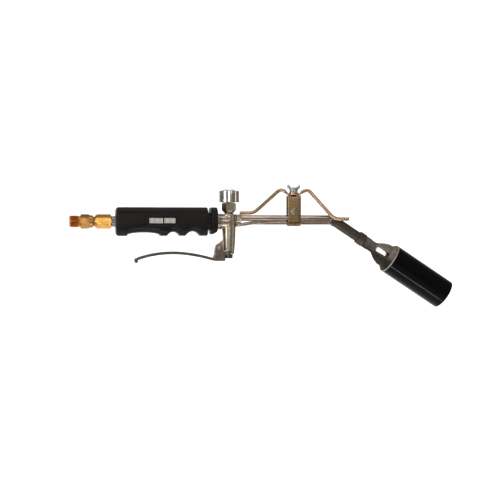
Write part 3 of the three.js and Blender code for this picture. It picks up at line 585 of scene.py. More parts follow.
def black_enamel():
    """Glossy black enamel with a faint orange-peel surface and a few duller, dusty places."""
    look = Look("black_enamel")
    haze = look.noise(14, 5, 0.6)
    specks = look.ramp(look.noise(0.7, 3, 0.7), 0.7, 0.78)
    dusty = look.blend(look.times(specks, 0.25), (0.003, 0.003, 0.003), (0.06, 0.056, 0.05))
    rim_end = CORNER.dot(BURNER_WAY) + CUP_START + 1.2
    ragged = look.plus(look.along(BURNER_WAY), look.times(haze, 0.4))
    bare = look.ramp(ragged, rim_end, rim_end + 0.4, 1.0, 0.0)
    look.put("Base Color", look.blend(bare, dusty, (0.62, 0.58, 0.53)))
    look.put("Metallic", bare)
    gloss = look.ramp(haze, 0.35, 0.7, 0.1, 0.24)
    look.put("Roughness", look.plus(gloss, look.times(bare, 0.35)))
    look.put("Specular IOR Level", 0.09)
    look.put("Coat Weight", 0.1)
    look.put("Coat Roughness", 0.06)
    look.bump(look.noise(5, 2, 0.5), 0.015)
    return look


def grip_plastic():
    """Moulded black plastic with a fine spark-eroded grain, polished a little where the hand rubs."""
    look = Look("grip_plastic")
    grain = look.cells(0.5)
    rubbed = look.noise(16, 4, 0.6)
    scuffs = look.ramp(look.noise(1.6, 6, 0.75, (1, 3, 1)), 0.62, 0.72)
    body = look.blend(look.times(scuffs, 0.3), (0.0065, 0.006, 0.0055), (0.022, 0.02, 0.018))
    # Its sharp edges turn a little lighter, partly rubbed wear and partly a painted highlight.
    look.put("Base Color", look.blend(look.times(look.edges(), 0.25), body, (0.04, 0.037, 0.034)))
    look.put("Roughness", look.ramp(rubbed, 0.35, 0.68, 0.34, 0.46))
    look.put("Specular IOR Level", 0.2)
    look.bump(grain, 0.02, 0.6)
    return look


def label_inlay():
    """Pale grey ink, rubbed thin in places."""
    look = Look("label_inlay")
    wear = look.noise(0.9, 6, 0.75)
    rubbed = look.ramp(wear, 0.5, 0.68)
    look.put("Base Color", look.blend(rubbed, (0.85, 0.82, 0.79), (0.5, 0.48, 0.46)))
    look.put("Roughness", look.ramp(wear, 0.3, 0.7, 0.4, 0.6))
    look.bump(wear, 0.02)
    return look


looks = make_looks()


def finish_piece(made, slot, *nodes, body="torch", look=None):
    """Gives a piece its material and its body, hides the CAD nodes it stands for, and keeps its long faces
    evenly shaded.
    """
    made.data.materials.clear()
    made.data.materials.append(looks[look or slot])
    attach(made, body)
    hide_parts(*nodes)
    modify(made, "flat_faces", "WEIGHTED_NORMAL", keep_sharp=True)


# ---- inlet fittings

HEX_FLATS = 17
HEX_CORNER = 9.6


def thread_rows(root, crest, pitch, start, end, steps_per_turn=10):
    """Profile rows of a helical thread that fades in and out at its ends."""
    rows = []
    count = round((end - start) / pitch * steps_per_turn)
    for i in range(count + 1):
        along = start + (end - start) * i / count
        fade = min(1, (along - start) / pitch, (end - along) / pitch)

        def radius(angle, along=along, fade=fade):
            phase = (along / pitch + angle / FULL_TURN) % 1
            return root + (crest - root) * fade * (0.5 - 0.5 * math.cos(FULL_TURN * phase)) ** 0.8

        rows.append((radius, along))
    return rows


def build_inlet():
    low, high = box_mm("hose_nipple")
    hex_start = low.x + 14.3
    hex_end = low.x + 26.1
    neck_end = low.x + 31.4
    crest = 8.33
    rows = [(3.6, low.x + 0.9), (4.4, low.x), (6.6, low.x), (7.3, low.x + 0.7)]
    rows += thread_rows(7.35, crest, 1.337, low.x + 0.9, hex_start - 2.2)
    rows += [(7.2, hex_start - 2), (7.2, hex_start)]
    rows += fillet([
        (7.2, hex_start), (8.6, hex_start), (HEX_CORNER, hex_start + 1), (HEX_CORNER, hex_end - 0.7),
        (8.6, hex_end), (8.4, hex_end + 2.4), (7.9, neck_end - 0.6), (7.2, neck_end), (6.2, neck_end),
        (6.2, high.x)], 0.3)[1:]
    rows += [(3.6, high.x)]
    nipple = turned("hose_nipple_turned", rows, along_x(), 144, loop=True, limit=hexagon(HEX_FLATS))
    finish_piece(nipple, "brass", "hose_nipple")

    low, high = box_mm("coupling_nut")
    profile = [
        (6.5, low.x), (7.8, low.x), (8.5, low.x + 1.2), (HEX_CORNER, low.x + 3), (HEX_CORNER, high.x - 1),
        (8.6, high.x), (7.4, high.x), (7.4, low.x + 9), (6.5, low.x + 9)]
    nut = bored("coupling_nut_hex", profile, 0.25, along_x(), 144, hexagon(HEX_FLATS))
    finish_piece(nut, "brass_bright", "coupling_nut")


def build_handle_tube():
    low, high = box_mm("handle_tube")
    tube = bored("handle_tube_drawn", ring_profile(4.6, 7.1, low.x, high.x), 0.3, along_x(), 72)
    finish_piece(tube, "steel_tube", "handle_tube")


# ---- grip

GRIP_LOW, GRIP_HIGH = box_mm("grip_sleeve")
GRIP_HALF = (GRIP_HIGH.y - GRIP_LOW.y) / 2
SLEEVE_END = GRIP_HIGH.x - 4
PANEL = {"start": -23.4, "end": 20.7, "low": -5.4, "high": 8.2, "depth": 0.9, "slope": 0.8}
# Each scallop of the underside: its centre, half length, depth and how full its curve is.
SCALLOPS = ((-24.2, 21.8, 4.6, 0.35), (15.5, 8.4, 5.3, 0.8), (41.5, 9.6, 6.0, 0.8))


def underside(x):
    """How far the grip's underside rises above its lowest line, in its scallops."""
    rise = 0.0
    for centre, half, depth, fullness in SCALLOPS:
        share = abs(x - centre) / half
        if share < 1:
            rise += depth * math.cos(share * math.pi / 2) ** fullness
    return rise


def ease(share):
    """A smooth step from 0 to 1."""
    share = min(1, max(0, share))
    return share * share * (3 - 2 * share)


def end_inset(distance, radius):
    """How far a rounded end draws in, at a distance from that end."""
    share = min(1.0, max(0.0, 1 - distance / radius))
    return radius * (1 - math.sqrt(1 - share ** 2))


def grip_row(x, inset, top, bottom, half, segments=168):
    """One ring of the grip: flat sides, a bevelled top and a rounded belly."""
    row = []
    middle_z, high = (top + bottom) / 2, (top - bottom) / 2
    for angle in around(segments):
        c, s = math.cos(angle), math.sin(angle)
        power = 0.5 if c > 0 else 0.68
        y = (half - inset) * signed_power(s, 0.56)
        z = middle_z + (high - inset) * signed_power(c, power)
        if y < 0:
            edges = (x - PANEL["start"], PANEL["end"] - x, z - PANEL["low"], PANEL["high"] - z)
            y += PANEL["depth"] * min(ease(edge / PANEL["slope"]) for edge in edges)
        row.append(Vector((x, y, z)))
    return row


def build_grip():
    rows = []
    start, end = GRIP_LOW.x, SLEEVE_END
    count = 300
    for i in range(count + 1):
        x = start + (end - start) * i / count
        inset = max(end_inset(x - start, 4.2), end_inset(end - x, 1.2))
        rows.append(grip_row(x, inset, GRIP_HIGH.z, GRIP_LOW.z + underside(x), GRIP_HALF))
    segments = len(rows[0])

    def ring(x, radius):
        return [Vector((x, radius * math.sin(a), radius * math.cos(a))) for a in around(segments)]

    bore, neck = 7.35, 12.0
    rows += [ring(end, neck), ring(GRIP_HIGH.x, neck), ring(GRIP_HIGH.x, bore), ring(start + 0.2, bore)]
    sleeve = skin("grip_moulding", rows, loop=True, crease=40)
    finish_piece(sleeve, "grip_plastic", "grip_sleeve")

    low, high = box_mm("grip_collar")
    rows = []
    depth = high.x - low.x
    count = 24
    for i in range(count + 1):
        share = i / count
        inset = end_inset(min(share, 1 - share) * depth, 1.3)
        bottom = low.z + 2.6 * ease((share - 0.25) / 0.75)
        rows.append(grip_row(low.x + depth * share, inset, high.z, bottom, (high.y - low.y) / 2))
    rows += [ring(high.x, bore), ring(low.x, bore)]
    collar = skin("collar_moulding", rows, loop=True, crease=40)
    finish_piece(collar, "grip_plastic", "grip_collar")


def build_label():
    """Two groups of plain upright bars let into the panel."""
    low, high = box_mm("grip_label")
    bars = []
    split = low.x + (high.x - low.x) * 0.53
    count = 21
    half = 0.52
    for i in range(count):
        x = low.x + 0.8 + (high.x - low.x - 1.6) * i / (count - 1)
        if abs(x - split) < 0.9:
            continue
        outline = fillet(rectangle(x - half, x + half, low.z, high.z), 0.4, 3, True)
        bars.append(plate(f"bar_{i}", outline, high.y - low.y, (low.y + high.y) / 2, 0.1))
    finish_piece(join("label_bars", *bars), "label_inlay", "grip_label")


# ---- valve

def from_pin(outline):
    """An outline whose (x, z) pairs are measured from the lever's pin."""
    return [(PIN.x + across, PIN.z + up) for across, up in outline]


def build_valve_body():
    low, high = box_mm("valve_body")
    top, foot = 10.2, -39.3
    barrel = turned("barrel", fillet([
        (AXIS, foot), (7.5, foot), (7.9, -36), (8.9, -22), (9.2, -10), (9.2, top), (5.6, top), (5.6, high.z),
        (AXIS, high.z)], 1.0), upright(VALVE_X), 96)
    web_outline = from_pin([
        (9.2, 12.8), (4.9, 9.8), (-4.1, 3.6), (-5.4, 0.8), (-5.4, -3.2), (-2.9, -5.6), (5.1, -5.6),
        (10.2, -3), (10.7, 7.4)])
    web = plate("web", fillet(web_outline, 1.6, 5, True), 6.0)
    inlet = turned("inlet_boss", rod_profile(10.4, low.x, VALVE_X, 0.8), along_x(), 72)
    main = turned("main_boss", rod_profile(5.2, VALVE_X, high.x, 0.6), along_x(MAIN_Z), 60)
    pilot = turned("pilot_boss", rod_profile(3.6, VALVE_X, high.x, 0.6), along_x(PILOT_PORT_Z), 60)
    skirt = bored("skirt", ring_profile(5.2, 7.4, low.z, foot + 1), 0.3, upright(VALVE_X), 72)
    open_side = rectangle(VALVE_X - 10, VALVE_X + 2.7, low.z - 1, foot + 2)
    cut(skirt, plate("skirt_side", open_side, 20.0, 0.0, 0))
    body = join("valve_casting", barrel, skirt, web, inlet, main, pilot)
    cast_together(body, 0.42, 5)
    finish_piece(body, "nickel", "valve_body")

    low, high = box_mm("body_ferrule")
    profile = [
        (7.3, low.x), (11, low.x), (11, low.x + 2.2), (10.3, low.x + 2.6), (10.3, low.x + 3.4),
        (11, low.x + 3.8), (11, high.x), (7.3, high.x)]
    ferrule = bored("ferrule_turned", profile, 0.35, along_x())
    finish_piece(ferrule, "steel_tube", "body_ferrule")


def build_knob():
    low, high = box_mm("knob")
    radius = (high.y - low.y) / 2
    flutes, flute_depth = 12, 0.05

    def fluted(r, share=1.0):
        return lambda angle: r - flute_depth * share * (0.5 - 0.5 * math.cos(flutes * angle))

    shoulder = high.z - 2.0
    rows = [
        (2.6, low.z + 0.4), (6.5, low.z + 0.4), (7.2, low.z), (fluted(radius - 1.0, 0.6), low.z),
        (fluted(radius - 0.3, 0.9), low.z + 0.3), (fluted(radius), low.z + 1.0),
        (fluted(radius), shoulder - 1.0), (fluted(radius - 0.3, 0.9), shoulder - 0.3),
        (fluted(radius - 1.0, 0.5), shoulder)]
    rows += fillet([(radius - 1.0, shoulder), (radius - 4.4, shoulder + 0.5), (radius - 5.0, high.z - 0.5),
                    (6.5, high.z - 0.1), (0.6, high.z)], 0.7)[1:]
    rows += [(AXIS, high.z)]
    knob = turned("knob_fluted", rows, upright(VALVE_X), 240, crease=30)
    finish_piece(knob, "chrome", "knob", body="knob")

    low, high = box_mm("gland_nut")
    profile = [
        (5.8, low.z), (6.5, low.z), (9.6, low.z + 3.8), (9.9, low.z + 4.6), (9.9, high.z - 1.2),
        (8.4, high.z), (2.8, high.z), (2.8, low.z + 6), (5.8, low.z + 6)]
    nut = bored("gland_nut_hex", profile, 0.3, upright(VALVE_X), 144, hexagon(HEX_FLATS))
    finish_piece(nut, "nickel", "gland_nut", look="dull_nickel")


def build_stem():
    low, high = box_mm("trigger_stem")
    head_top = low.z + 5.6
    groove = low.z + 2.0
    rows = fillet([(AXIS, low.z), (4.5, low.z), (5.3, low.z + 0.9), (5.3, groove), (4.8, groove + 0.3),
                   (4.8, groove + 0.8), (5.3, groove + 1.1), (5.3, head_top), (2.2, head_top)], 0.3)
    collar, tip = high.z - 7, high.z - 1.6
    rows += [(2.2, collar), (4.4, collar), (4.4, tip), (1.1, tip), (1.1, high.z), (AXIS, high.z)]
    stem = turned("stem_turned", rows, upright(VALVE_X), 72)
    finish_piece(stem, "dark_steel", "trigger_stem", body="trigger_stem")


def build_spring():
    """A round-wire helix that fills the return spring's box."""
    low, high = box_mm("return_spring")
    wire, coil, turns, per_turn = 0.5, 3.9, 4.5, 36
    start, end = low.z + wire + 0.05, high.z - wire - 0.05
    rows = []
    count = round(turns * per_turn)
    for i in range(count + 1):
        angle = FULL_TURN * i / per_turn
        outward = Vector((math.cos(angle), math.sin(angle), 0))
        centre = Vector((VALVE_X, 0, start + (end - start) * i / count)) + outward * coil
        rows.append([centre + (outward * math.cos(a) + Z_WAY * math.sin(a)) * wire for a in around(12)])
    spring = skin("spring_coil", rows)
    finish_piece(spring, "stainless", "return_spring")
    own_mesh(spring)


# ---- lever

STRIP_PEAK = Vector((16, -42))


def strip_height(x):
    """The middle line of the finger strip, which bows up to its peak and falls away both ways."""
    share = abs(x - STRIP_PEAK.x) / 52
    drop = 9.2 * share ** 2.2 if x < STRIP_PEAK.x else 8.4 * share ** 1.75
    return STRIP_PEAK.y - drop


def build_lever():
    low, high = box_mm("lever")
    half = (high.y - low.y) / 2
    start, end = low.x + 4.3, PIN.x - 6.3
    stations = [start + (end - start) * i / 90 for i in range(91)]
    path = [(x, strip_height(x)) for x in stations]
    strip = swept("strip", path, lambda share: (2.0, half, 0.42), 64, 45)
    bead_place = along_y(path[0][0] - 1.9, path[0][1] - 2.2) @ Matrix.Diagonal((3.4, 2.4, 1, 1))
    curl = turned("curl", rod_profile(1, -half, half, 0.3), bead_place, 48)
    # Up the back of the cheek, over its eye, out along the claw that pulls the stem, and back under.
    side = fillet(from_pin([
        (-6.9, -11.8), (-5.2, -8.1), (-5.2, 0), (-3.7, 3.7), (0, 5.2), (3.7, 3.7), (5.2, 0), (5.2, -4.5),
        (14.9, -4.7), (16.1, -5.7), (16.1, -7), (15.1, -8.1), (13.7, -8.5), (8.9, -8.3), (8.6, -17.9),
        (-5.3, -17.9), (-6.9, -17.2)]), 1.5, 5, True)
    inner = 3.3
    thick = half - inner
    cheeks = [plate(f"cheek_{i}", side, thick, sign * (inner + thick / 2), 0.45)
              for i, sign in enumerate((-1, 1))]
    base = fillet(from_pin([(-8.3, -13.3), (8.1, -13.3), (8.1, -17.9), (-8.3, -17.6)]), 1.0, 4, True)
    floor = plate("floor", base, 7.2, 0.0, 0.3)
    made = join("lever_pressed", strip, curl, *cheeks, floor)
    cast_together(made, 0.36, 3)
    finish_piece(made, "lever_steel", "lever", body="lever")

    low, high = box_mm("lever_pin")
    pin = turned("pin_turned", fillet([
        (AXIS, low.y), (2.3, low.y), (3.0, low.y + 0.7), (3.0, low.y + 1.1), (1.98, low.y + 1.1),
        (1.98, high.y - 1.1), (3.0, high.y - 1.1), (3.0, high.y - 0.7), (2.3, high.y), (AXIS, high.y)], 0.25),
        along_y(PIN.x, PIN.z), 48)
    finish_piece(pin, "stainless", "lever_pin", look="nickel")


# ---- tubes and burner

def tube_path(offset, start, end_along, steps=28):
    """The middle line of a tube through the bend, offset from the corner's height."""
    tangent = BEND_RADIUS * math.tan(BEND / 2)
    centre = Vector((CORNER.x - tangent, CORNER.z - BEND_RADIUS))
    path = [(start + (centre.x - start) * i / 12, CORNER.z + offset) for i in range(12)]
    radius = BEND_RADIUS + offset
    for i in range(steps + 1):
        angle = BEND * i / steps
        path.append((centre.x + radius * math.sin(angle), centre.y + radius * math.cos(angle)))
    for i in range(1, 9):
        along = tangent + (end_along - tangent) * i / 8
        spot = CORNER + BURNER_WAY * along + BURNER_UP * offset
        path.append((spot.x, spot.z))
    return path


# How far past the corner the tubes run inside the neck.
TUBE_END = 23


def build_tubes():
    path = tube_path(MAIN_Z - CORNER.z, main_low.x, TUBE_END)
    main = swept("main_tube_bent", path, lambda share: (MAIN_RADIUS, MAIN_RADIUS, 1))
    finish_piece(main, "tube_steel", "main_tube")

    rise_start, rise_end = 109.0, 125.0
    path = [(pilot_low.x, PILOT_PORT_Z), (rise_start - 4, PILOT_PORT_Z)]
    for i in range(17):
        share = i / 16
        height = PILOT_PORT_Z + (PILOT_Z - PILOT_PORT_Z) * ease(share)
        path.append((rise_start + (rise_end - rise_start) * share, height))
    path += tube_path(PILOT_Z - CORNER.z, rise_end, TUBE_END)[1:]
    pilot = swept("pilot_tube_bent", path, lambda share: (PILOT_RADIUS, PILOT_RADIUS, 1), 32)
    finish_piece(pilot, "tube_steel", "pilot_tube")

    for name, node, z, flats, bore in (
        ("main_nut_hex", "main_tube_nut", MAIN_Z, 9.9, 4.2),
        ("pilot_nut_hex", "pilot_tube_nut", PILOT_PORT_Z, 6.7, 2.7),
    ):
        low, high = box_mm(node)
        corner = flats / math.sqrt(3)
        profile = [
            (bore, low.x), (corner - 0.5, low.x), (corner, low.x + 0.6), (corner, high.x - 1.4),
            (corner - 0.8, high.x - 0.6), (bore + 0.9, high.x), (bore, high.x)]
        nut = bored(name, profile, 0.2, along_x(z), 120, hexagon(flats, math.pi / 6))
        finish_piece(nut, "nickel", node, look="dull_nickel")


NECK_START = 235.6
NECK_END = 53.2
SOCKET_START, SOCKET_END = 42.8, 53.6
HUB_START = 53.9


def build_neck():
    path = [(x, z) for x, z in tube_path(0, NECK_START - 9.6, NECK_END) if x > NECK_START]

    def section(share):
        start = ease(share * 22)
        return 5.6 + 1.4 * start, 4.9 + 1.0 * start, 0.92

    neck = swept("neck_bar", path, section, 72)
    finish_piece(neck, "scorched_steel", "neck_sleeve")
    start, end, radius = SOCKET_START, SOCKET_END, 8.9
    profile = [(7.2, start), (8.0, start), (radius, start + 0.8), (radius, end - 0.6), (8.3, end), (7.2, end)]
    socket = bored("socket_turned", profile, 0.35, BURNER)
    finish_piece(socket, "scorched_steel", "burner_socket")
    holder = bored("jet_ring", ring_profile(4.3, 5.3, 64.4, 70), 0.3, BURNER, 64)
    finish_piece(holder, "cast_steel", "jet_holder")


def slot_cutter(name, start, end, width, turn):
    """A long rounded slot out from the burner's axis towards the front, turned about that axis."""
    half = width / 2
    outline = fillet(rectangle(start, end, -half, half), half * 0.8, 6, True)
    place = BURNER @ Matrix.Rotation(turn, 4, "Z")
    near, far = ([place @ Vector((up, side, along)) for along, up in outline] for side in (0.0, 30.0))
    return prism(name, near, far)


def build_cage():
    start, end = HUB_START, 101.0
    outside = [
        (7.7, start), (8.2, start + 0.7), (8.2, start + 8.6), (7.7, start + 9.2), (7.9, 70.5), (13.9, 80.5),
        (16.4, 88), (16.0, 92), (20.5, 97.0), (20.5, 98.0), (19.3, 98.1), (19.3, end), (17.2, end)]
    inside = [(13.4, 92.4), (13.8, 88), (11.3, 80.9), (6.0, 74), (5.5, 72), (5.5, start)]
    cage = turned("cage_cast", fillet(outside + inside, 1.1, 5, True), BURNER, 132, loop=True)
    cutters = [slot_cutter(f"window_{turn}", 72.5, 91.5, 6.5, turn * QUARTER_TURN) for turn in (0, 1, -1)]
    cutters.append(slot_cutter("back_window", 76.0, 96.6, 13.0, 2 * QUARTER_TURN))
    cut(cage, *cutters)
    soften(cage, 0.55, 3, 40)
    finish_piece(cage, "cast_steel", "burner_cage")


def build_cup():
    wall = 1.2
    lip = wall / 2
    length = CUP_END - CUP_START
    runs = [length * i / 24 for i in range(1, 24)]
    rows = []
    for end, side in ((CUP_START + lip, -1), (CUP_END - lip, 1)):
        for i in range(9):
            angle = math.pi * i / 8
            rows.append((CUP_RADIUS - lip + side * lip * math.cos(angle), end + side * lip * math.sin(angle)))
        if side < 0:
            rows += [(CUP_RADIUS, CUP_START + run) for run in runs]
    rows += [(CUP_RADIUS - wall, CUP_END - run) for run in runs]
    cup = turned("cup_enamelled", rows, BURNER, 192, loop=True, crease=60)
    finish_piece(cup, "black_enamel", "burner_cup")


# ---- stand

def strap_loop(half_gap, bottom, top, bottom_round, top_round):
    """The middle line of the strap in the YZ plane, as a closed loop."""
    corners = [(-half_gap, bottom), (half_gap, bottom), (half_gap, top), (-half_gap, top)]
    loop = []
    for i, corner in enumerate(corners):
        radius = bottom_round if i < 2 else top_round
        here = Vector(corner)
        back = (Vector(corners[i - 1]) - here).normalized()
        ahead = (Vector(corners[(i + 1) % 4]) - here).normalized()
        for step in range(13):
            angle = math.pi / 2 * step / 12
            loop.append(here + back * radius * (1 - math.sin(angle)) + ahead * radius * (1 - math.cos(angle)))
    return loop


def cross_slot(place, turn, face):
    """A cutter for one slot of the screw's cross, turned about the screw by an angle in degrees."""
    place = place @ Matrix.Rotation(-math.radians(turn), 4, "Z")
    blade = rectangle(-2.7, 2.7, -0.5, 0.5)
    near, far = ([place @ Vector((up, across, y)) for across, up in blade] for y in (face - 1, face + 1.5))
    return prism(f"slot_{turn}", near, far)


def build_clamp():
    low, high = box_mm("clamp_strap")
    thick = 2.0
    half_gap = (high.y - low.y) / 2 - thick / 2
    loop = strap_loop(half_gap, low.z + thick / 2, high.z - thick / 2, half_gap * 0.92, 2.2)
    rows = []
    half = thick / 2
    wide = (high.x - low.x) / 2
    section = fillet(rectangle(-wide, wide, -half, half), 0.45, 3, True)
    for i, spot in enumerate(loop):
        way = (loop[(i + 1) % len(loop)] - loop[i - 1]).normalized()
        outward = Vector((way.y, -way.x))
        rows.append([Vector((STAND_X + across, spot.x + outward.x * out, spot.y + outward.y * out))
                     for across, out in section])
    strap = skin("strap_folded", rows, loop=True, crease=50)
    finish_piece(strap, "yellow_zinc", "clamp_strap")

    low, high = box_mm("clamp_screw")
    place = along_y((low.x + high.x) / 2, (low.z + high.z) / 2)
    head, dome, shank = 4.6, 2.5, 2.1
    brim = low.y + dome
    seat = brim + 0.4
    rows = [(AXIS, low.y)]
    for i in range(1, 11):
        angle = QUARTER_TURN * i / 10
        rows.append((head * math.sin(angle), brim - dome * math.cos(angle)))
    rows += fillet([(head, brim), (head, seat), (shank, seat), (shank, high.y), (AXIS, high.y)], 0.2)[1:]
    screw = turned("pan_screw", rows, place, 72)
    cut(screw, *[cross_slot(place, turn, low.y) for turn in (20, 110)])
    soften(screw, 0.12, 2, 50)
    finish_piece(screw, "silver_zinc", "clamp_screw", look="dull_zinc")

    low, high = box_mm("clamp_nut")
    profile = [
        (2.2, low.y), (4.3, low.y), (4.7, low.y + 0.5), (4.7, high.y - 0.6), (4.0, high.y), (2.2, high.y)]
    nut = bored("clamp_nut_hex", profile, 0.15, place, 96, hexagon(8))
    finish_piece(nut, "silver_zinc", "clamp_nut")


def build_bolt():
    low, high = box_mm("stand_bolt")
    radius = 2.9
    top = low.z + 3.3
    head = [(AXIS, low.z), (3.6, low.z), (4.3, low.z + 0.5), (4.3, top), (radius - 0.3, top + 0.1)]
    rows = fillet(head, 0.2)
    rows += thread_rows(radius - 0.45, radius, 1.0, low.z + 3.5, high.z - 0.5, 8)
    rows += [(radius - 0.8, high.z), (AXIS, high.z)]
    bolt = turned("stud_threaded", rows, upright(STAND_X), 72, limit=hexagon(8))
    finish_piece(bolt, "silver_zinc", "stand_bolt")
    low, high = box_mm("stand_washer")
    washer = bored("washer_pressed", ring_profile(3.2, 6.4, low.z, high.z), 0.3, upright(STAND_X), 72)
    finish_piece(washer, "silver_zinc", "stand_washer")


def set_on_stud(made, turn):
    """Turns a piece that was made at the origin, and moves it to the stud."""
    made.data.transform(Matrix.Translation((STAND_X * MM, 0, 0)) @ Matrix.Rotation(turn, 4, "Z"))


def build_wing_nut():
    low, high = box_mm("wing_nut")
    base = low.z
    crown = base + 5.3
    profile = fillet([(AXIS, base), (6.0, base), (6.0, base + 1.2), (4.7, crown), (AXIS, crown)], 0.5)
    parts = [turned("hub", profile, upright(0), 72)]
    for side in (1, -1):
        rows = []
        for i in range(17):
            t = i / 16
            out = 2.8 + 6.9 * t ** 0.8
            bottom = base + 0.9 + 4.0 * t ** 1.2
            top = base + 4.9 + 5.5 * math.sin(t * 1.45)
            wide = 2.3 - t
            squeeze = 1 - 0.35 * max(0, (t - 0.8) / 0.2) ** 2
            half = (top - bottom) / 2 * squeeze
            centre = Vector((side * out, 0, (bottom + top) / 2))
            deep = wide * squeeze
            rows.append([centre + Vector((0, deep * math.sin(a), half * math.cos(a))) for a in around(32)])
        parts.append(skin(f"wing_{side}", rows))
    made = join("wing_nut_cast", *parts)
    cast_together(made, 0.24, 4)
    cut(made, turned("bore", rod_profile(3.05, base - 1, high.z + 1), upright(0), 48))
    smooth(made.data, 50)
    set_on_stud(made, 0.2)
    finish_piece(made, "silver_zinc", "wing_nut", body="wing_nut")


ROD_STEP = 1.2


def rounded_path(corners, radius):
    """A path of straight runs with rounded corners, in even small steps."""
    dense = []
    outline = fillet(corners, radius, 10)
    for a, b in zip(outline, outline[1:]):
        a, b = Vector(a), Vector(b)
        count = max(1, round((b - a).length / ROD_STEP))
        dense += [tuple(a.lerp(b, i / count)) for i in range(count)]
    dense.append(tuple(outline[-1]))
    return dense


def build_stand():
    radius, flat_wide = 2.5, 0.9
    eye_base, eye_thick = 36.3, 2.8
    eye_z = eye_base + eye_thick / 2
    left = [(-74.2, 11.6), (-54.5, 11.6), (-19.6, 43), (-13.5, 42.6), (-8.6, eye_z), (-4.2, eye_z)]
    right = [(76.6, 3.6), (56, 3.6), (21, 42.6), (14, 42.2), (8.6, eye_z), (4.2, eye_z)]
    parts = []
    for name, corners in (("leg_left", left), ("leg_right", right)):
        path = rounded_path(corners, 7.5)

        def section(share, path=path):
            """Round wire with an eased tip, flattened where it runs into the eye."""
            place = share * (len(path) - 1)
            flat = 1 - ease((abs(path[round(place)][0]) - 7.5) / 5.0)
            tip = 0.82 + 0.18 * ease(place * ROD_STEP / 1.4)
            high = radius + (eye_thick / 2 - radius) * flat
            return high * tip, (radius + flat_wide * flat) * tip, 1 - 0.3 * flat

        parts.append(swept(name, path, section, 40))
    eye = bored("eye", ring_profile(3.25, 7.6, eye_base, eye_base + eye_thick), 0.6, upright(0), 72)
    made = join("stand_wire", *parts, eye)
    cast_together(made, 0.33, 3)
    cut(made, turned("eye_bore", rod_profile(3.25, 30, 48), upright(0), 48))
    smooth(made.data, 50)
    set_on_stud(made, math.radians(-8))
    finish_piece(made, "yellow_zinc", "stand_rod", body="stand", look="pale_zinc")


def finish_inner_nodes():
    """The pieces that only show through an opening stay as the frame has them, with real finishes."""
    slots = {entry["node"]: entry["material_slot"] for entry in frame["record"]["subparts"]}
    for node, made in frame["nodes"].items():
        made.data.materials.clear()
        made.data.materials.append(looks[slots[node]])
        smooth(made.data, 40)


# ---- studio

def build_camera():
    azimuth, elevation = math.radians(-11), math.radians(1.5)
    distance = 1360
    look_at = Vector((120.7, 0, -38.7))
    level = Vector((math.sin(azimuth), -math.cos(azimuth), 0))
    towards = level * math.cos(elevation) + Z_WAY * math.sin(elevation)
    camera = add_object("camera", bpy.data.cameras.new("camera"))
    camera.data.lens = 72
    camera.data.sensor_width = 36
    camera.data.clip_start = 0.01
    camera.location = (look_at + towards * distance) * MM
    camera.rotation_euler = (-towards).to_track_quat("-Z", "Y").to_euler()
    bpy.context.scene.camera = camera


def build_world():
    """A dim grey room, lighter overhead, so that round metal keeps dark outlines."""
    world = bpy.data.worlds.new("studio")
    bpy.context.scene.world = world
    world.use_nodes = True
    nodes, links = world.node_tree.nodes, world.node_tree.links
    background = nodes["Background"]
    place = nodes.new("ShaderNodeTexCoord")
    split = nodes.new("ShaderNodeSeparateXYZ")
    links.new(place.outputs["Generated"], split.inputs["Vector"])
    shade = nodes.new("ShaderNodeMapRange")
    for key, value in {"From Min": -0.6, "From Max": 1.0, "To Min": 0.05, "To Max": 0.25}.items():
        shade.inputs[key].default_value = value
    links.new(split.outputs["Z"], shade.inputs["Value"])
    links.new(shade.outputs["Result"], background.inputs["Strength"])
    background.inputs["Color"].default_value = (1.0, 0.985, 0.96, 1)


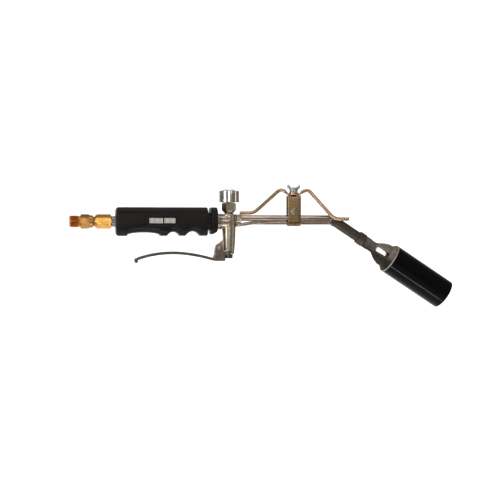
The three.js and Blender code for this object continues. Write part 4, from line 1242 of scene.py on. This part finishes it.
def build_backdrop():
    """A pale floor that curves up into a wall, in metres, lit from within behind the tool only."""
    left, right, floor, front, back, top, cove = -3.0, 3.3, -0.75, -2.6, 1.3, 2.0, 0.5
    side = [(front, floor), (back - cove, floor)]
    for i in range(1, 17):
        angle = QUARTER_TURN * i / 16
        side.append((back - cove * (1 - math.sin(angle)), floor + cove * (1 - math.cos(angle))))
    side.append((back, top))
    count = len(side)
    mesh = bpy.data.meshes.new("backdrop")
    mesh.from_pydata([(x, y, z) for x in (left, right) for y, z in side], [],
                     [(i, i + 1, i + 1 + count, i + count) for i in range(count - 1)])
    backdrop = add_object("backdrop", mesh)
    round_off(mesh)
    paper = Look("studio_paper")
    paper.put("Base Color", paper.blend(paper.noise(60), (0.6, 0.6, 0.6), (0.63, 0.63, 0.63)))
    paper.put("Roughness", 0.9)
    paper.put("Emission Color", (1.0, 1.0, 1.0, 1.0))
    behind = paper.ramp(paper.along(Y_WAY), -300, 800)
    from_left = paper.ramp(paper.along(X_WAY), -2000, -900)
    from_right = paper.ramp(paper.along(X_WAY), 2300, 1200)
    below = paper.ramp(paper.along(Z_WAY), 1700, 900)
    lit = paper.times(paper.times(behind, paper.times(from_left, from_right)), below)
    paper.put("Emission Strength", paper.times(lit, 0.9))
    mesh.materials.append(paper.material)


def lamp(name, position, size, energy, aim, along=X_WAY, colour=(1, 0.97, 0.92)):
    """A soft box that faces its aim, with its first side lying along the given way."""
    light = bpy.data.lights.new(name, "AREA")
    light.shape = "RECTANGLE"
    light.size, light.size_y = size
    light.energy = energy
    light.color = colour
    made = add_object(name, light)
    out = (Vector(position) - Vector(aim)).normalized()
    side = (along - out * along.dot(out)).normalized()
    axes = Matrix((side, out.cross(side), out)).transposed().to_4x4()
    made.matrix_world = Matrix.Translation(position) @ axes


def build_studio():
    build_world()
    build_backdrop()
    centre = (0.12, 0, 0)
    lamp("left_box", (-1.15, -0.95, 0.25), (0.4, 1.0), 9, centre, Y_WAY)
    lamp("front_box", (-0.16, -1.6, 0.03), (0.36, 0.5), 1.9, centre)
    lamp("right_box", (1.25, -0.5, -0.1), (0.2, 0.7), 0.9, centre, Y_WAY, (1, 0.86, 0.72))
    lamp("top_box", (0.02, -0.4, 1.15), (1.1, 0.4), 4, centre)
    lamp("high_box", (0.55, -1.55, 0.46), (0.5, 0.5), 2.2, centre)
    lamp("low_strip", (0.153, -0.418, -0.673), (1.0, 0.03), 2.0, (0.37, 0, -0.09), BURNER_WAY)
    bpy.context.scene.view_settings.view_transform = "Standard"


build_camera()
build_inlet()
build_handle_tube()
build_grip()
build_label()
build_valve_body()
build_knob()
build_stem()
build_spring()
build_lever()
build_tubes()
build_neck()
build_cage()
build_cup()
build_clamp()
build_bolt()
build_wing_nut()
build_stand()
finish_inner_nodes()
build_studio()
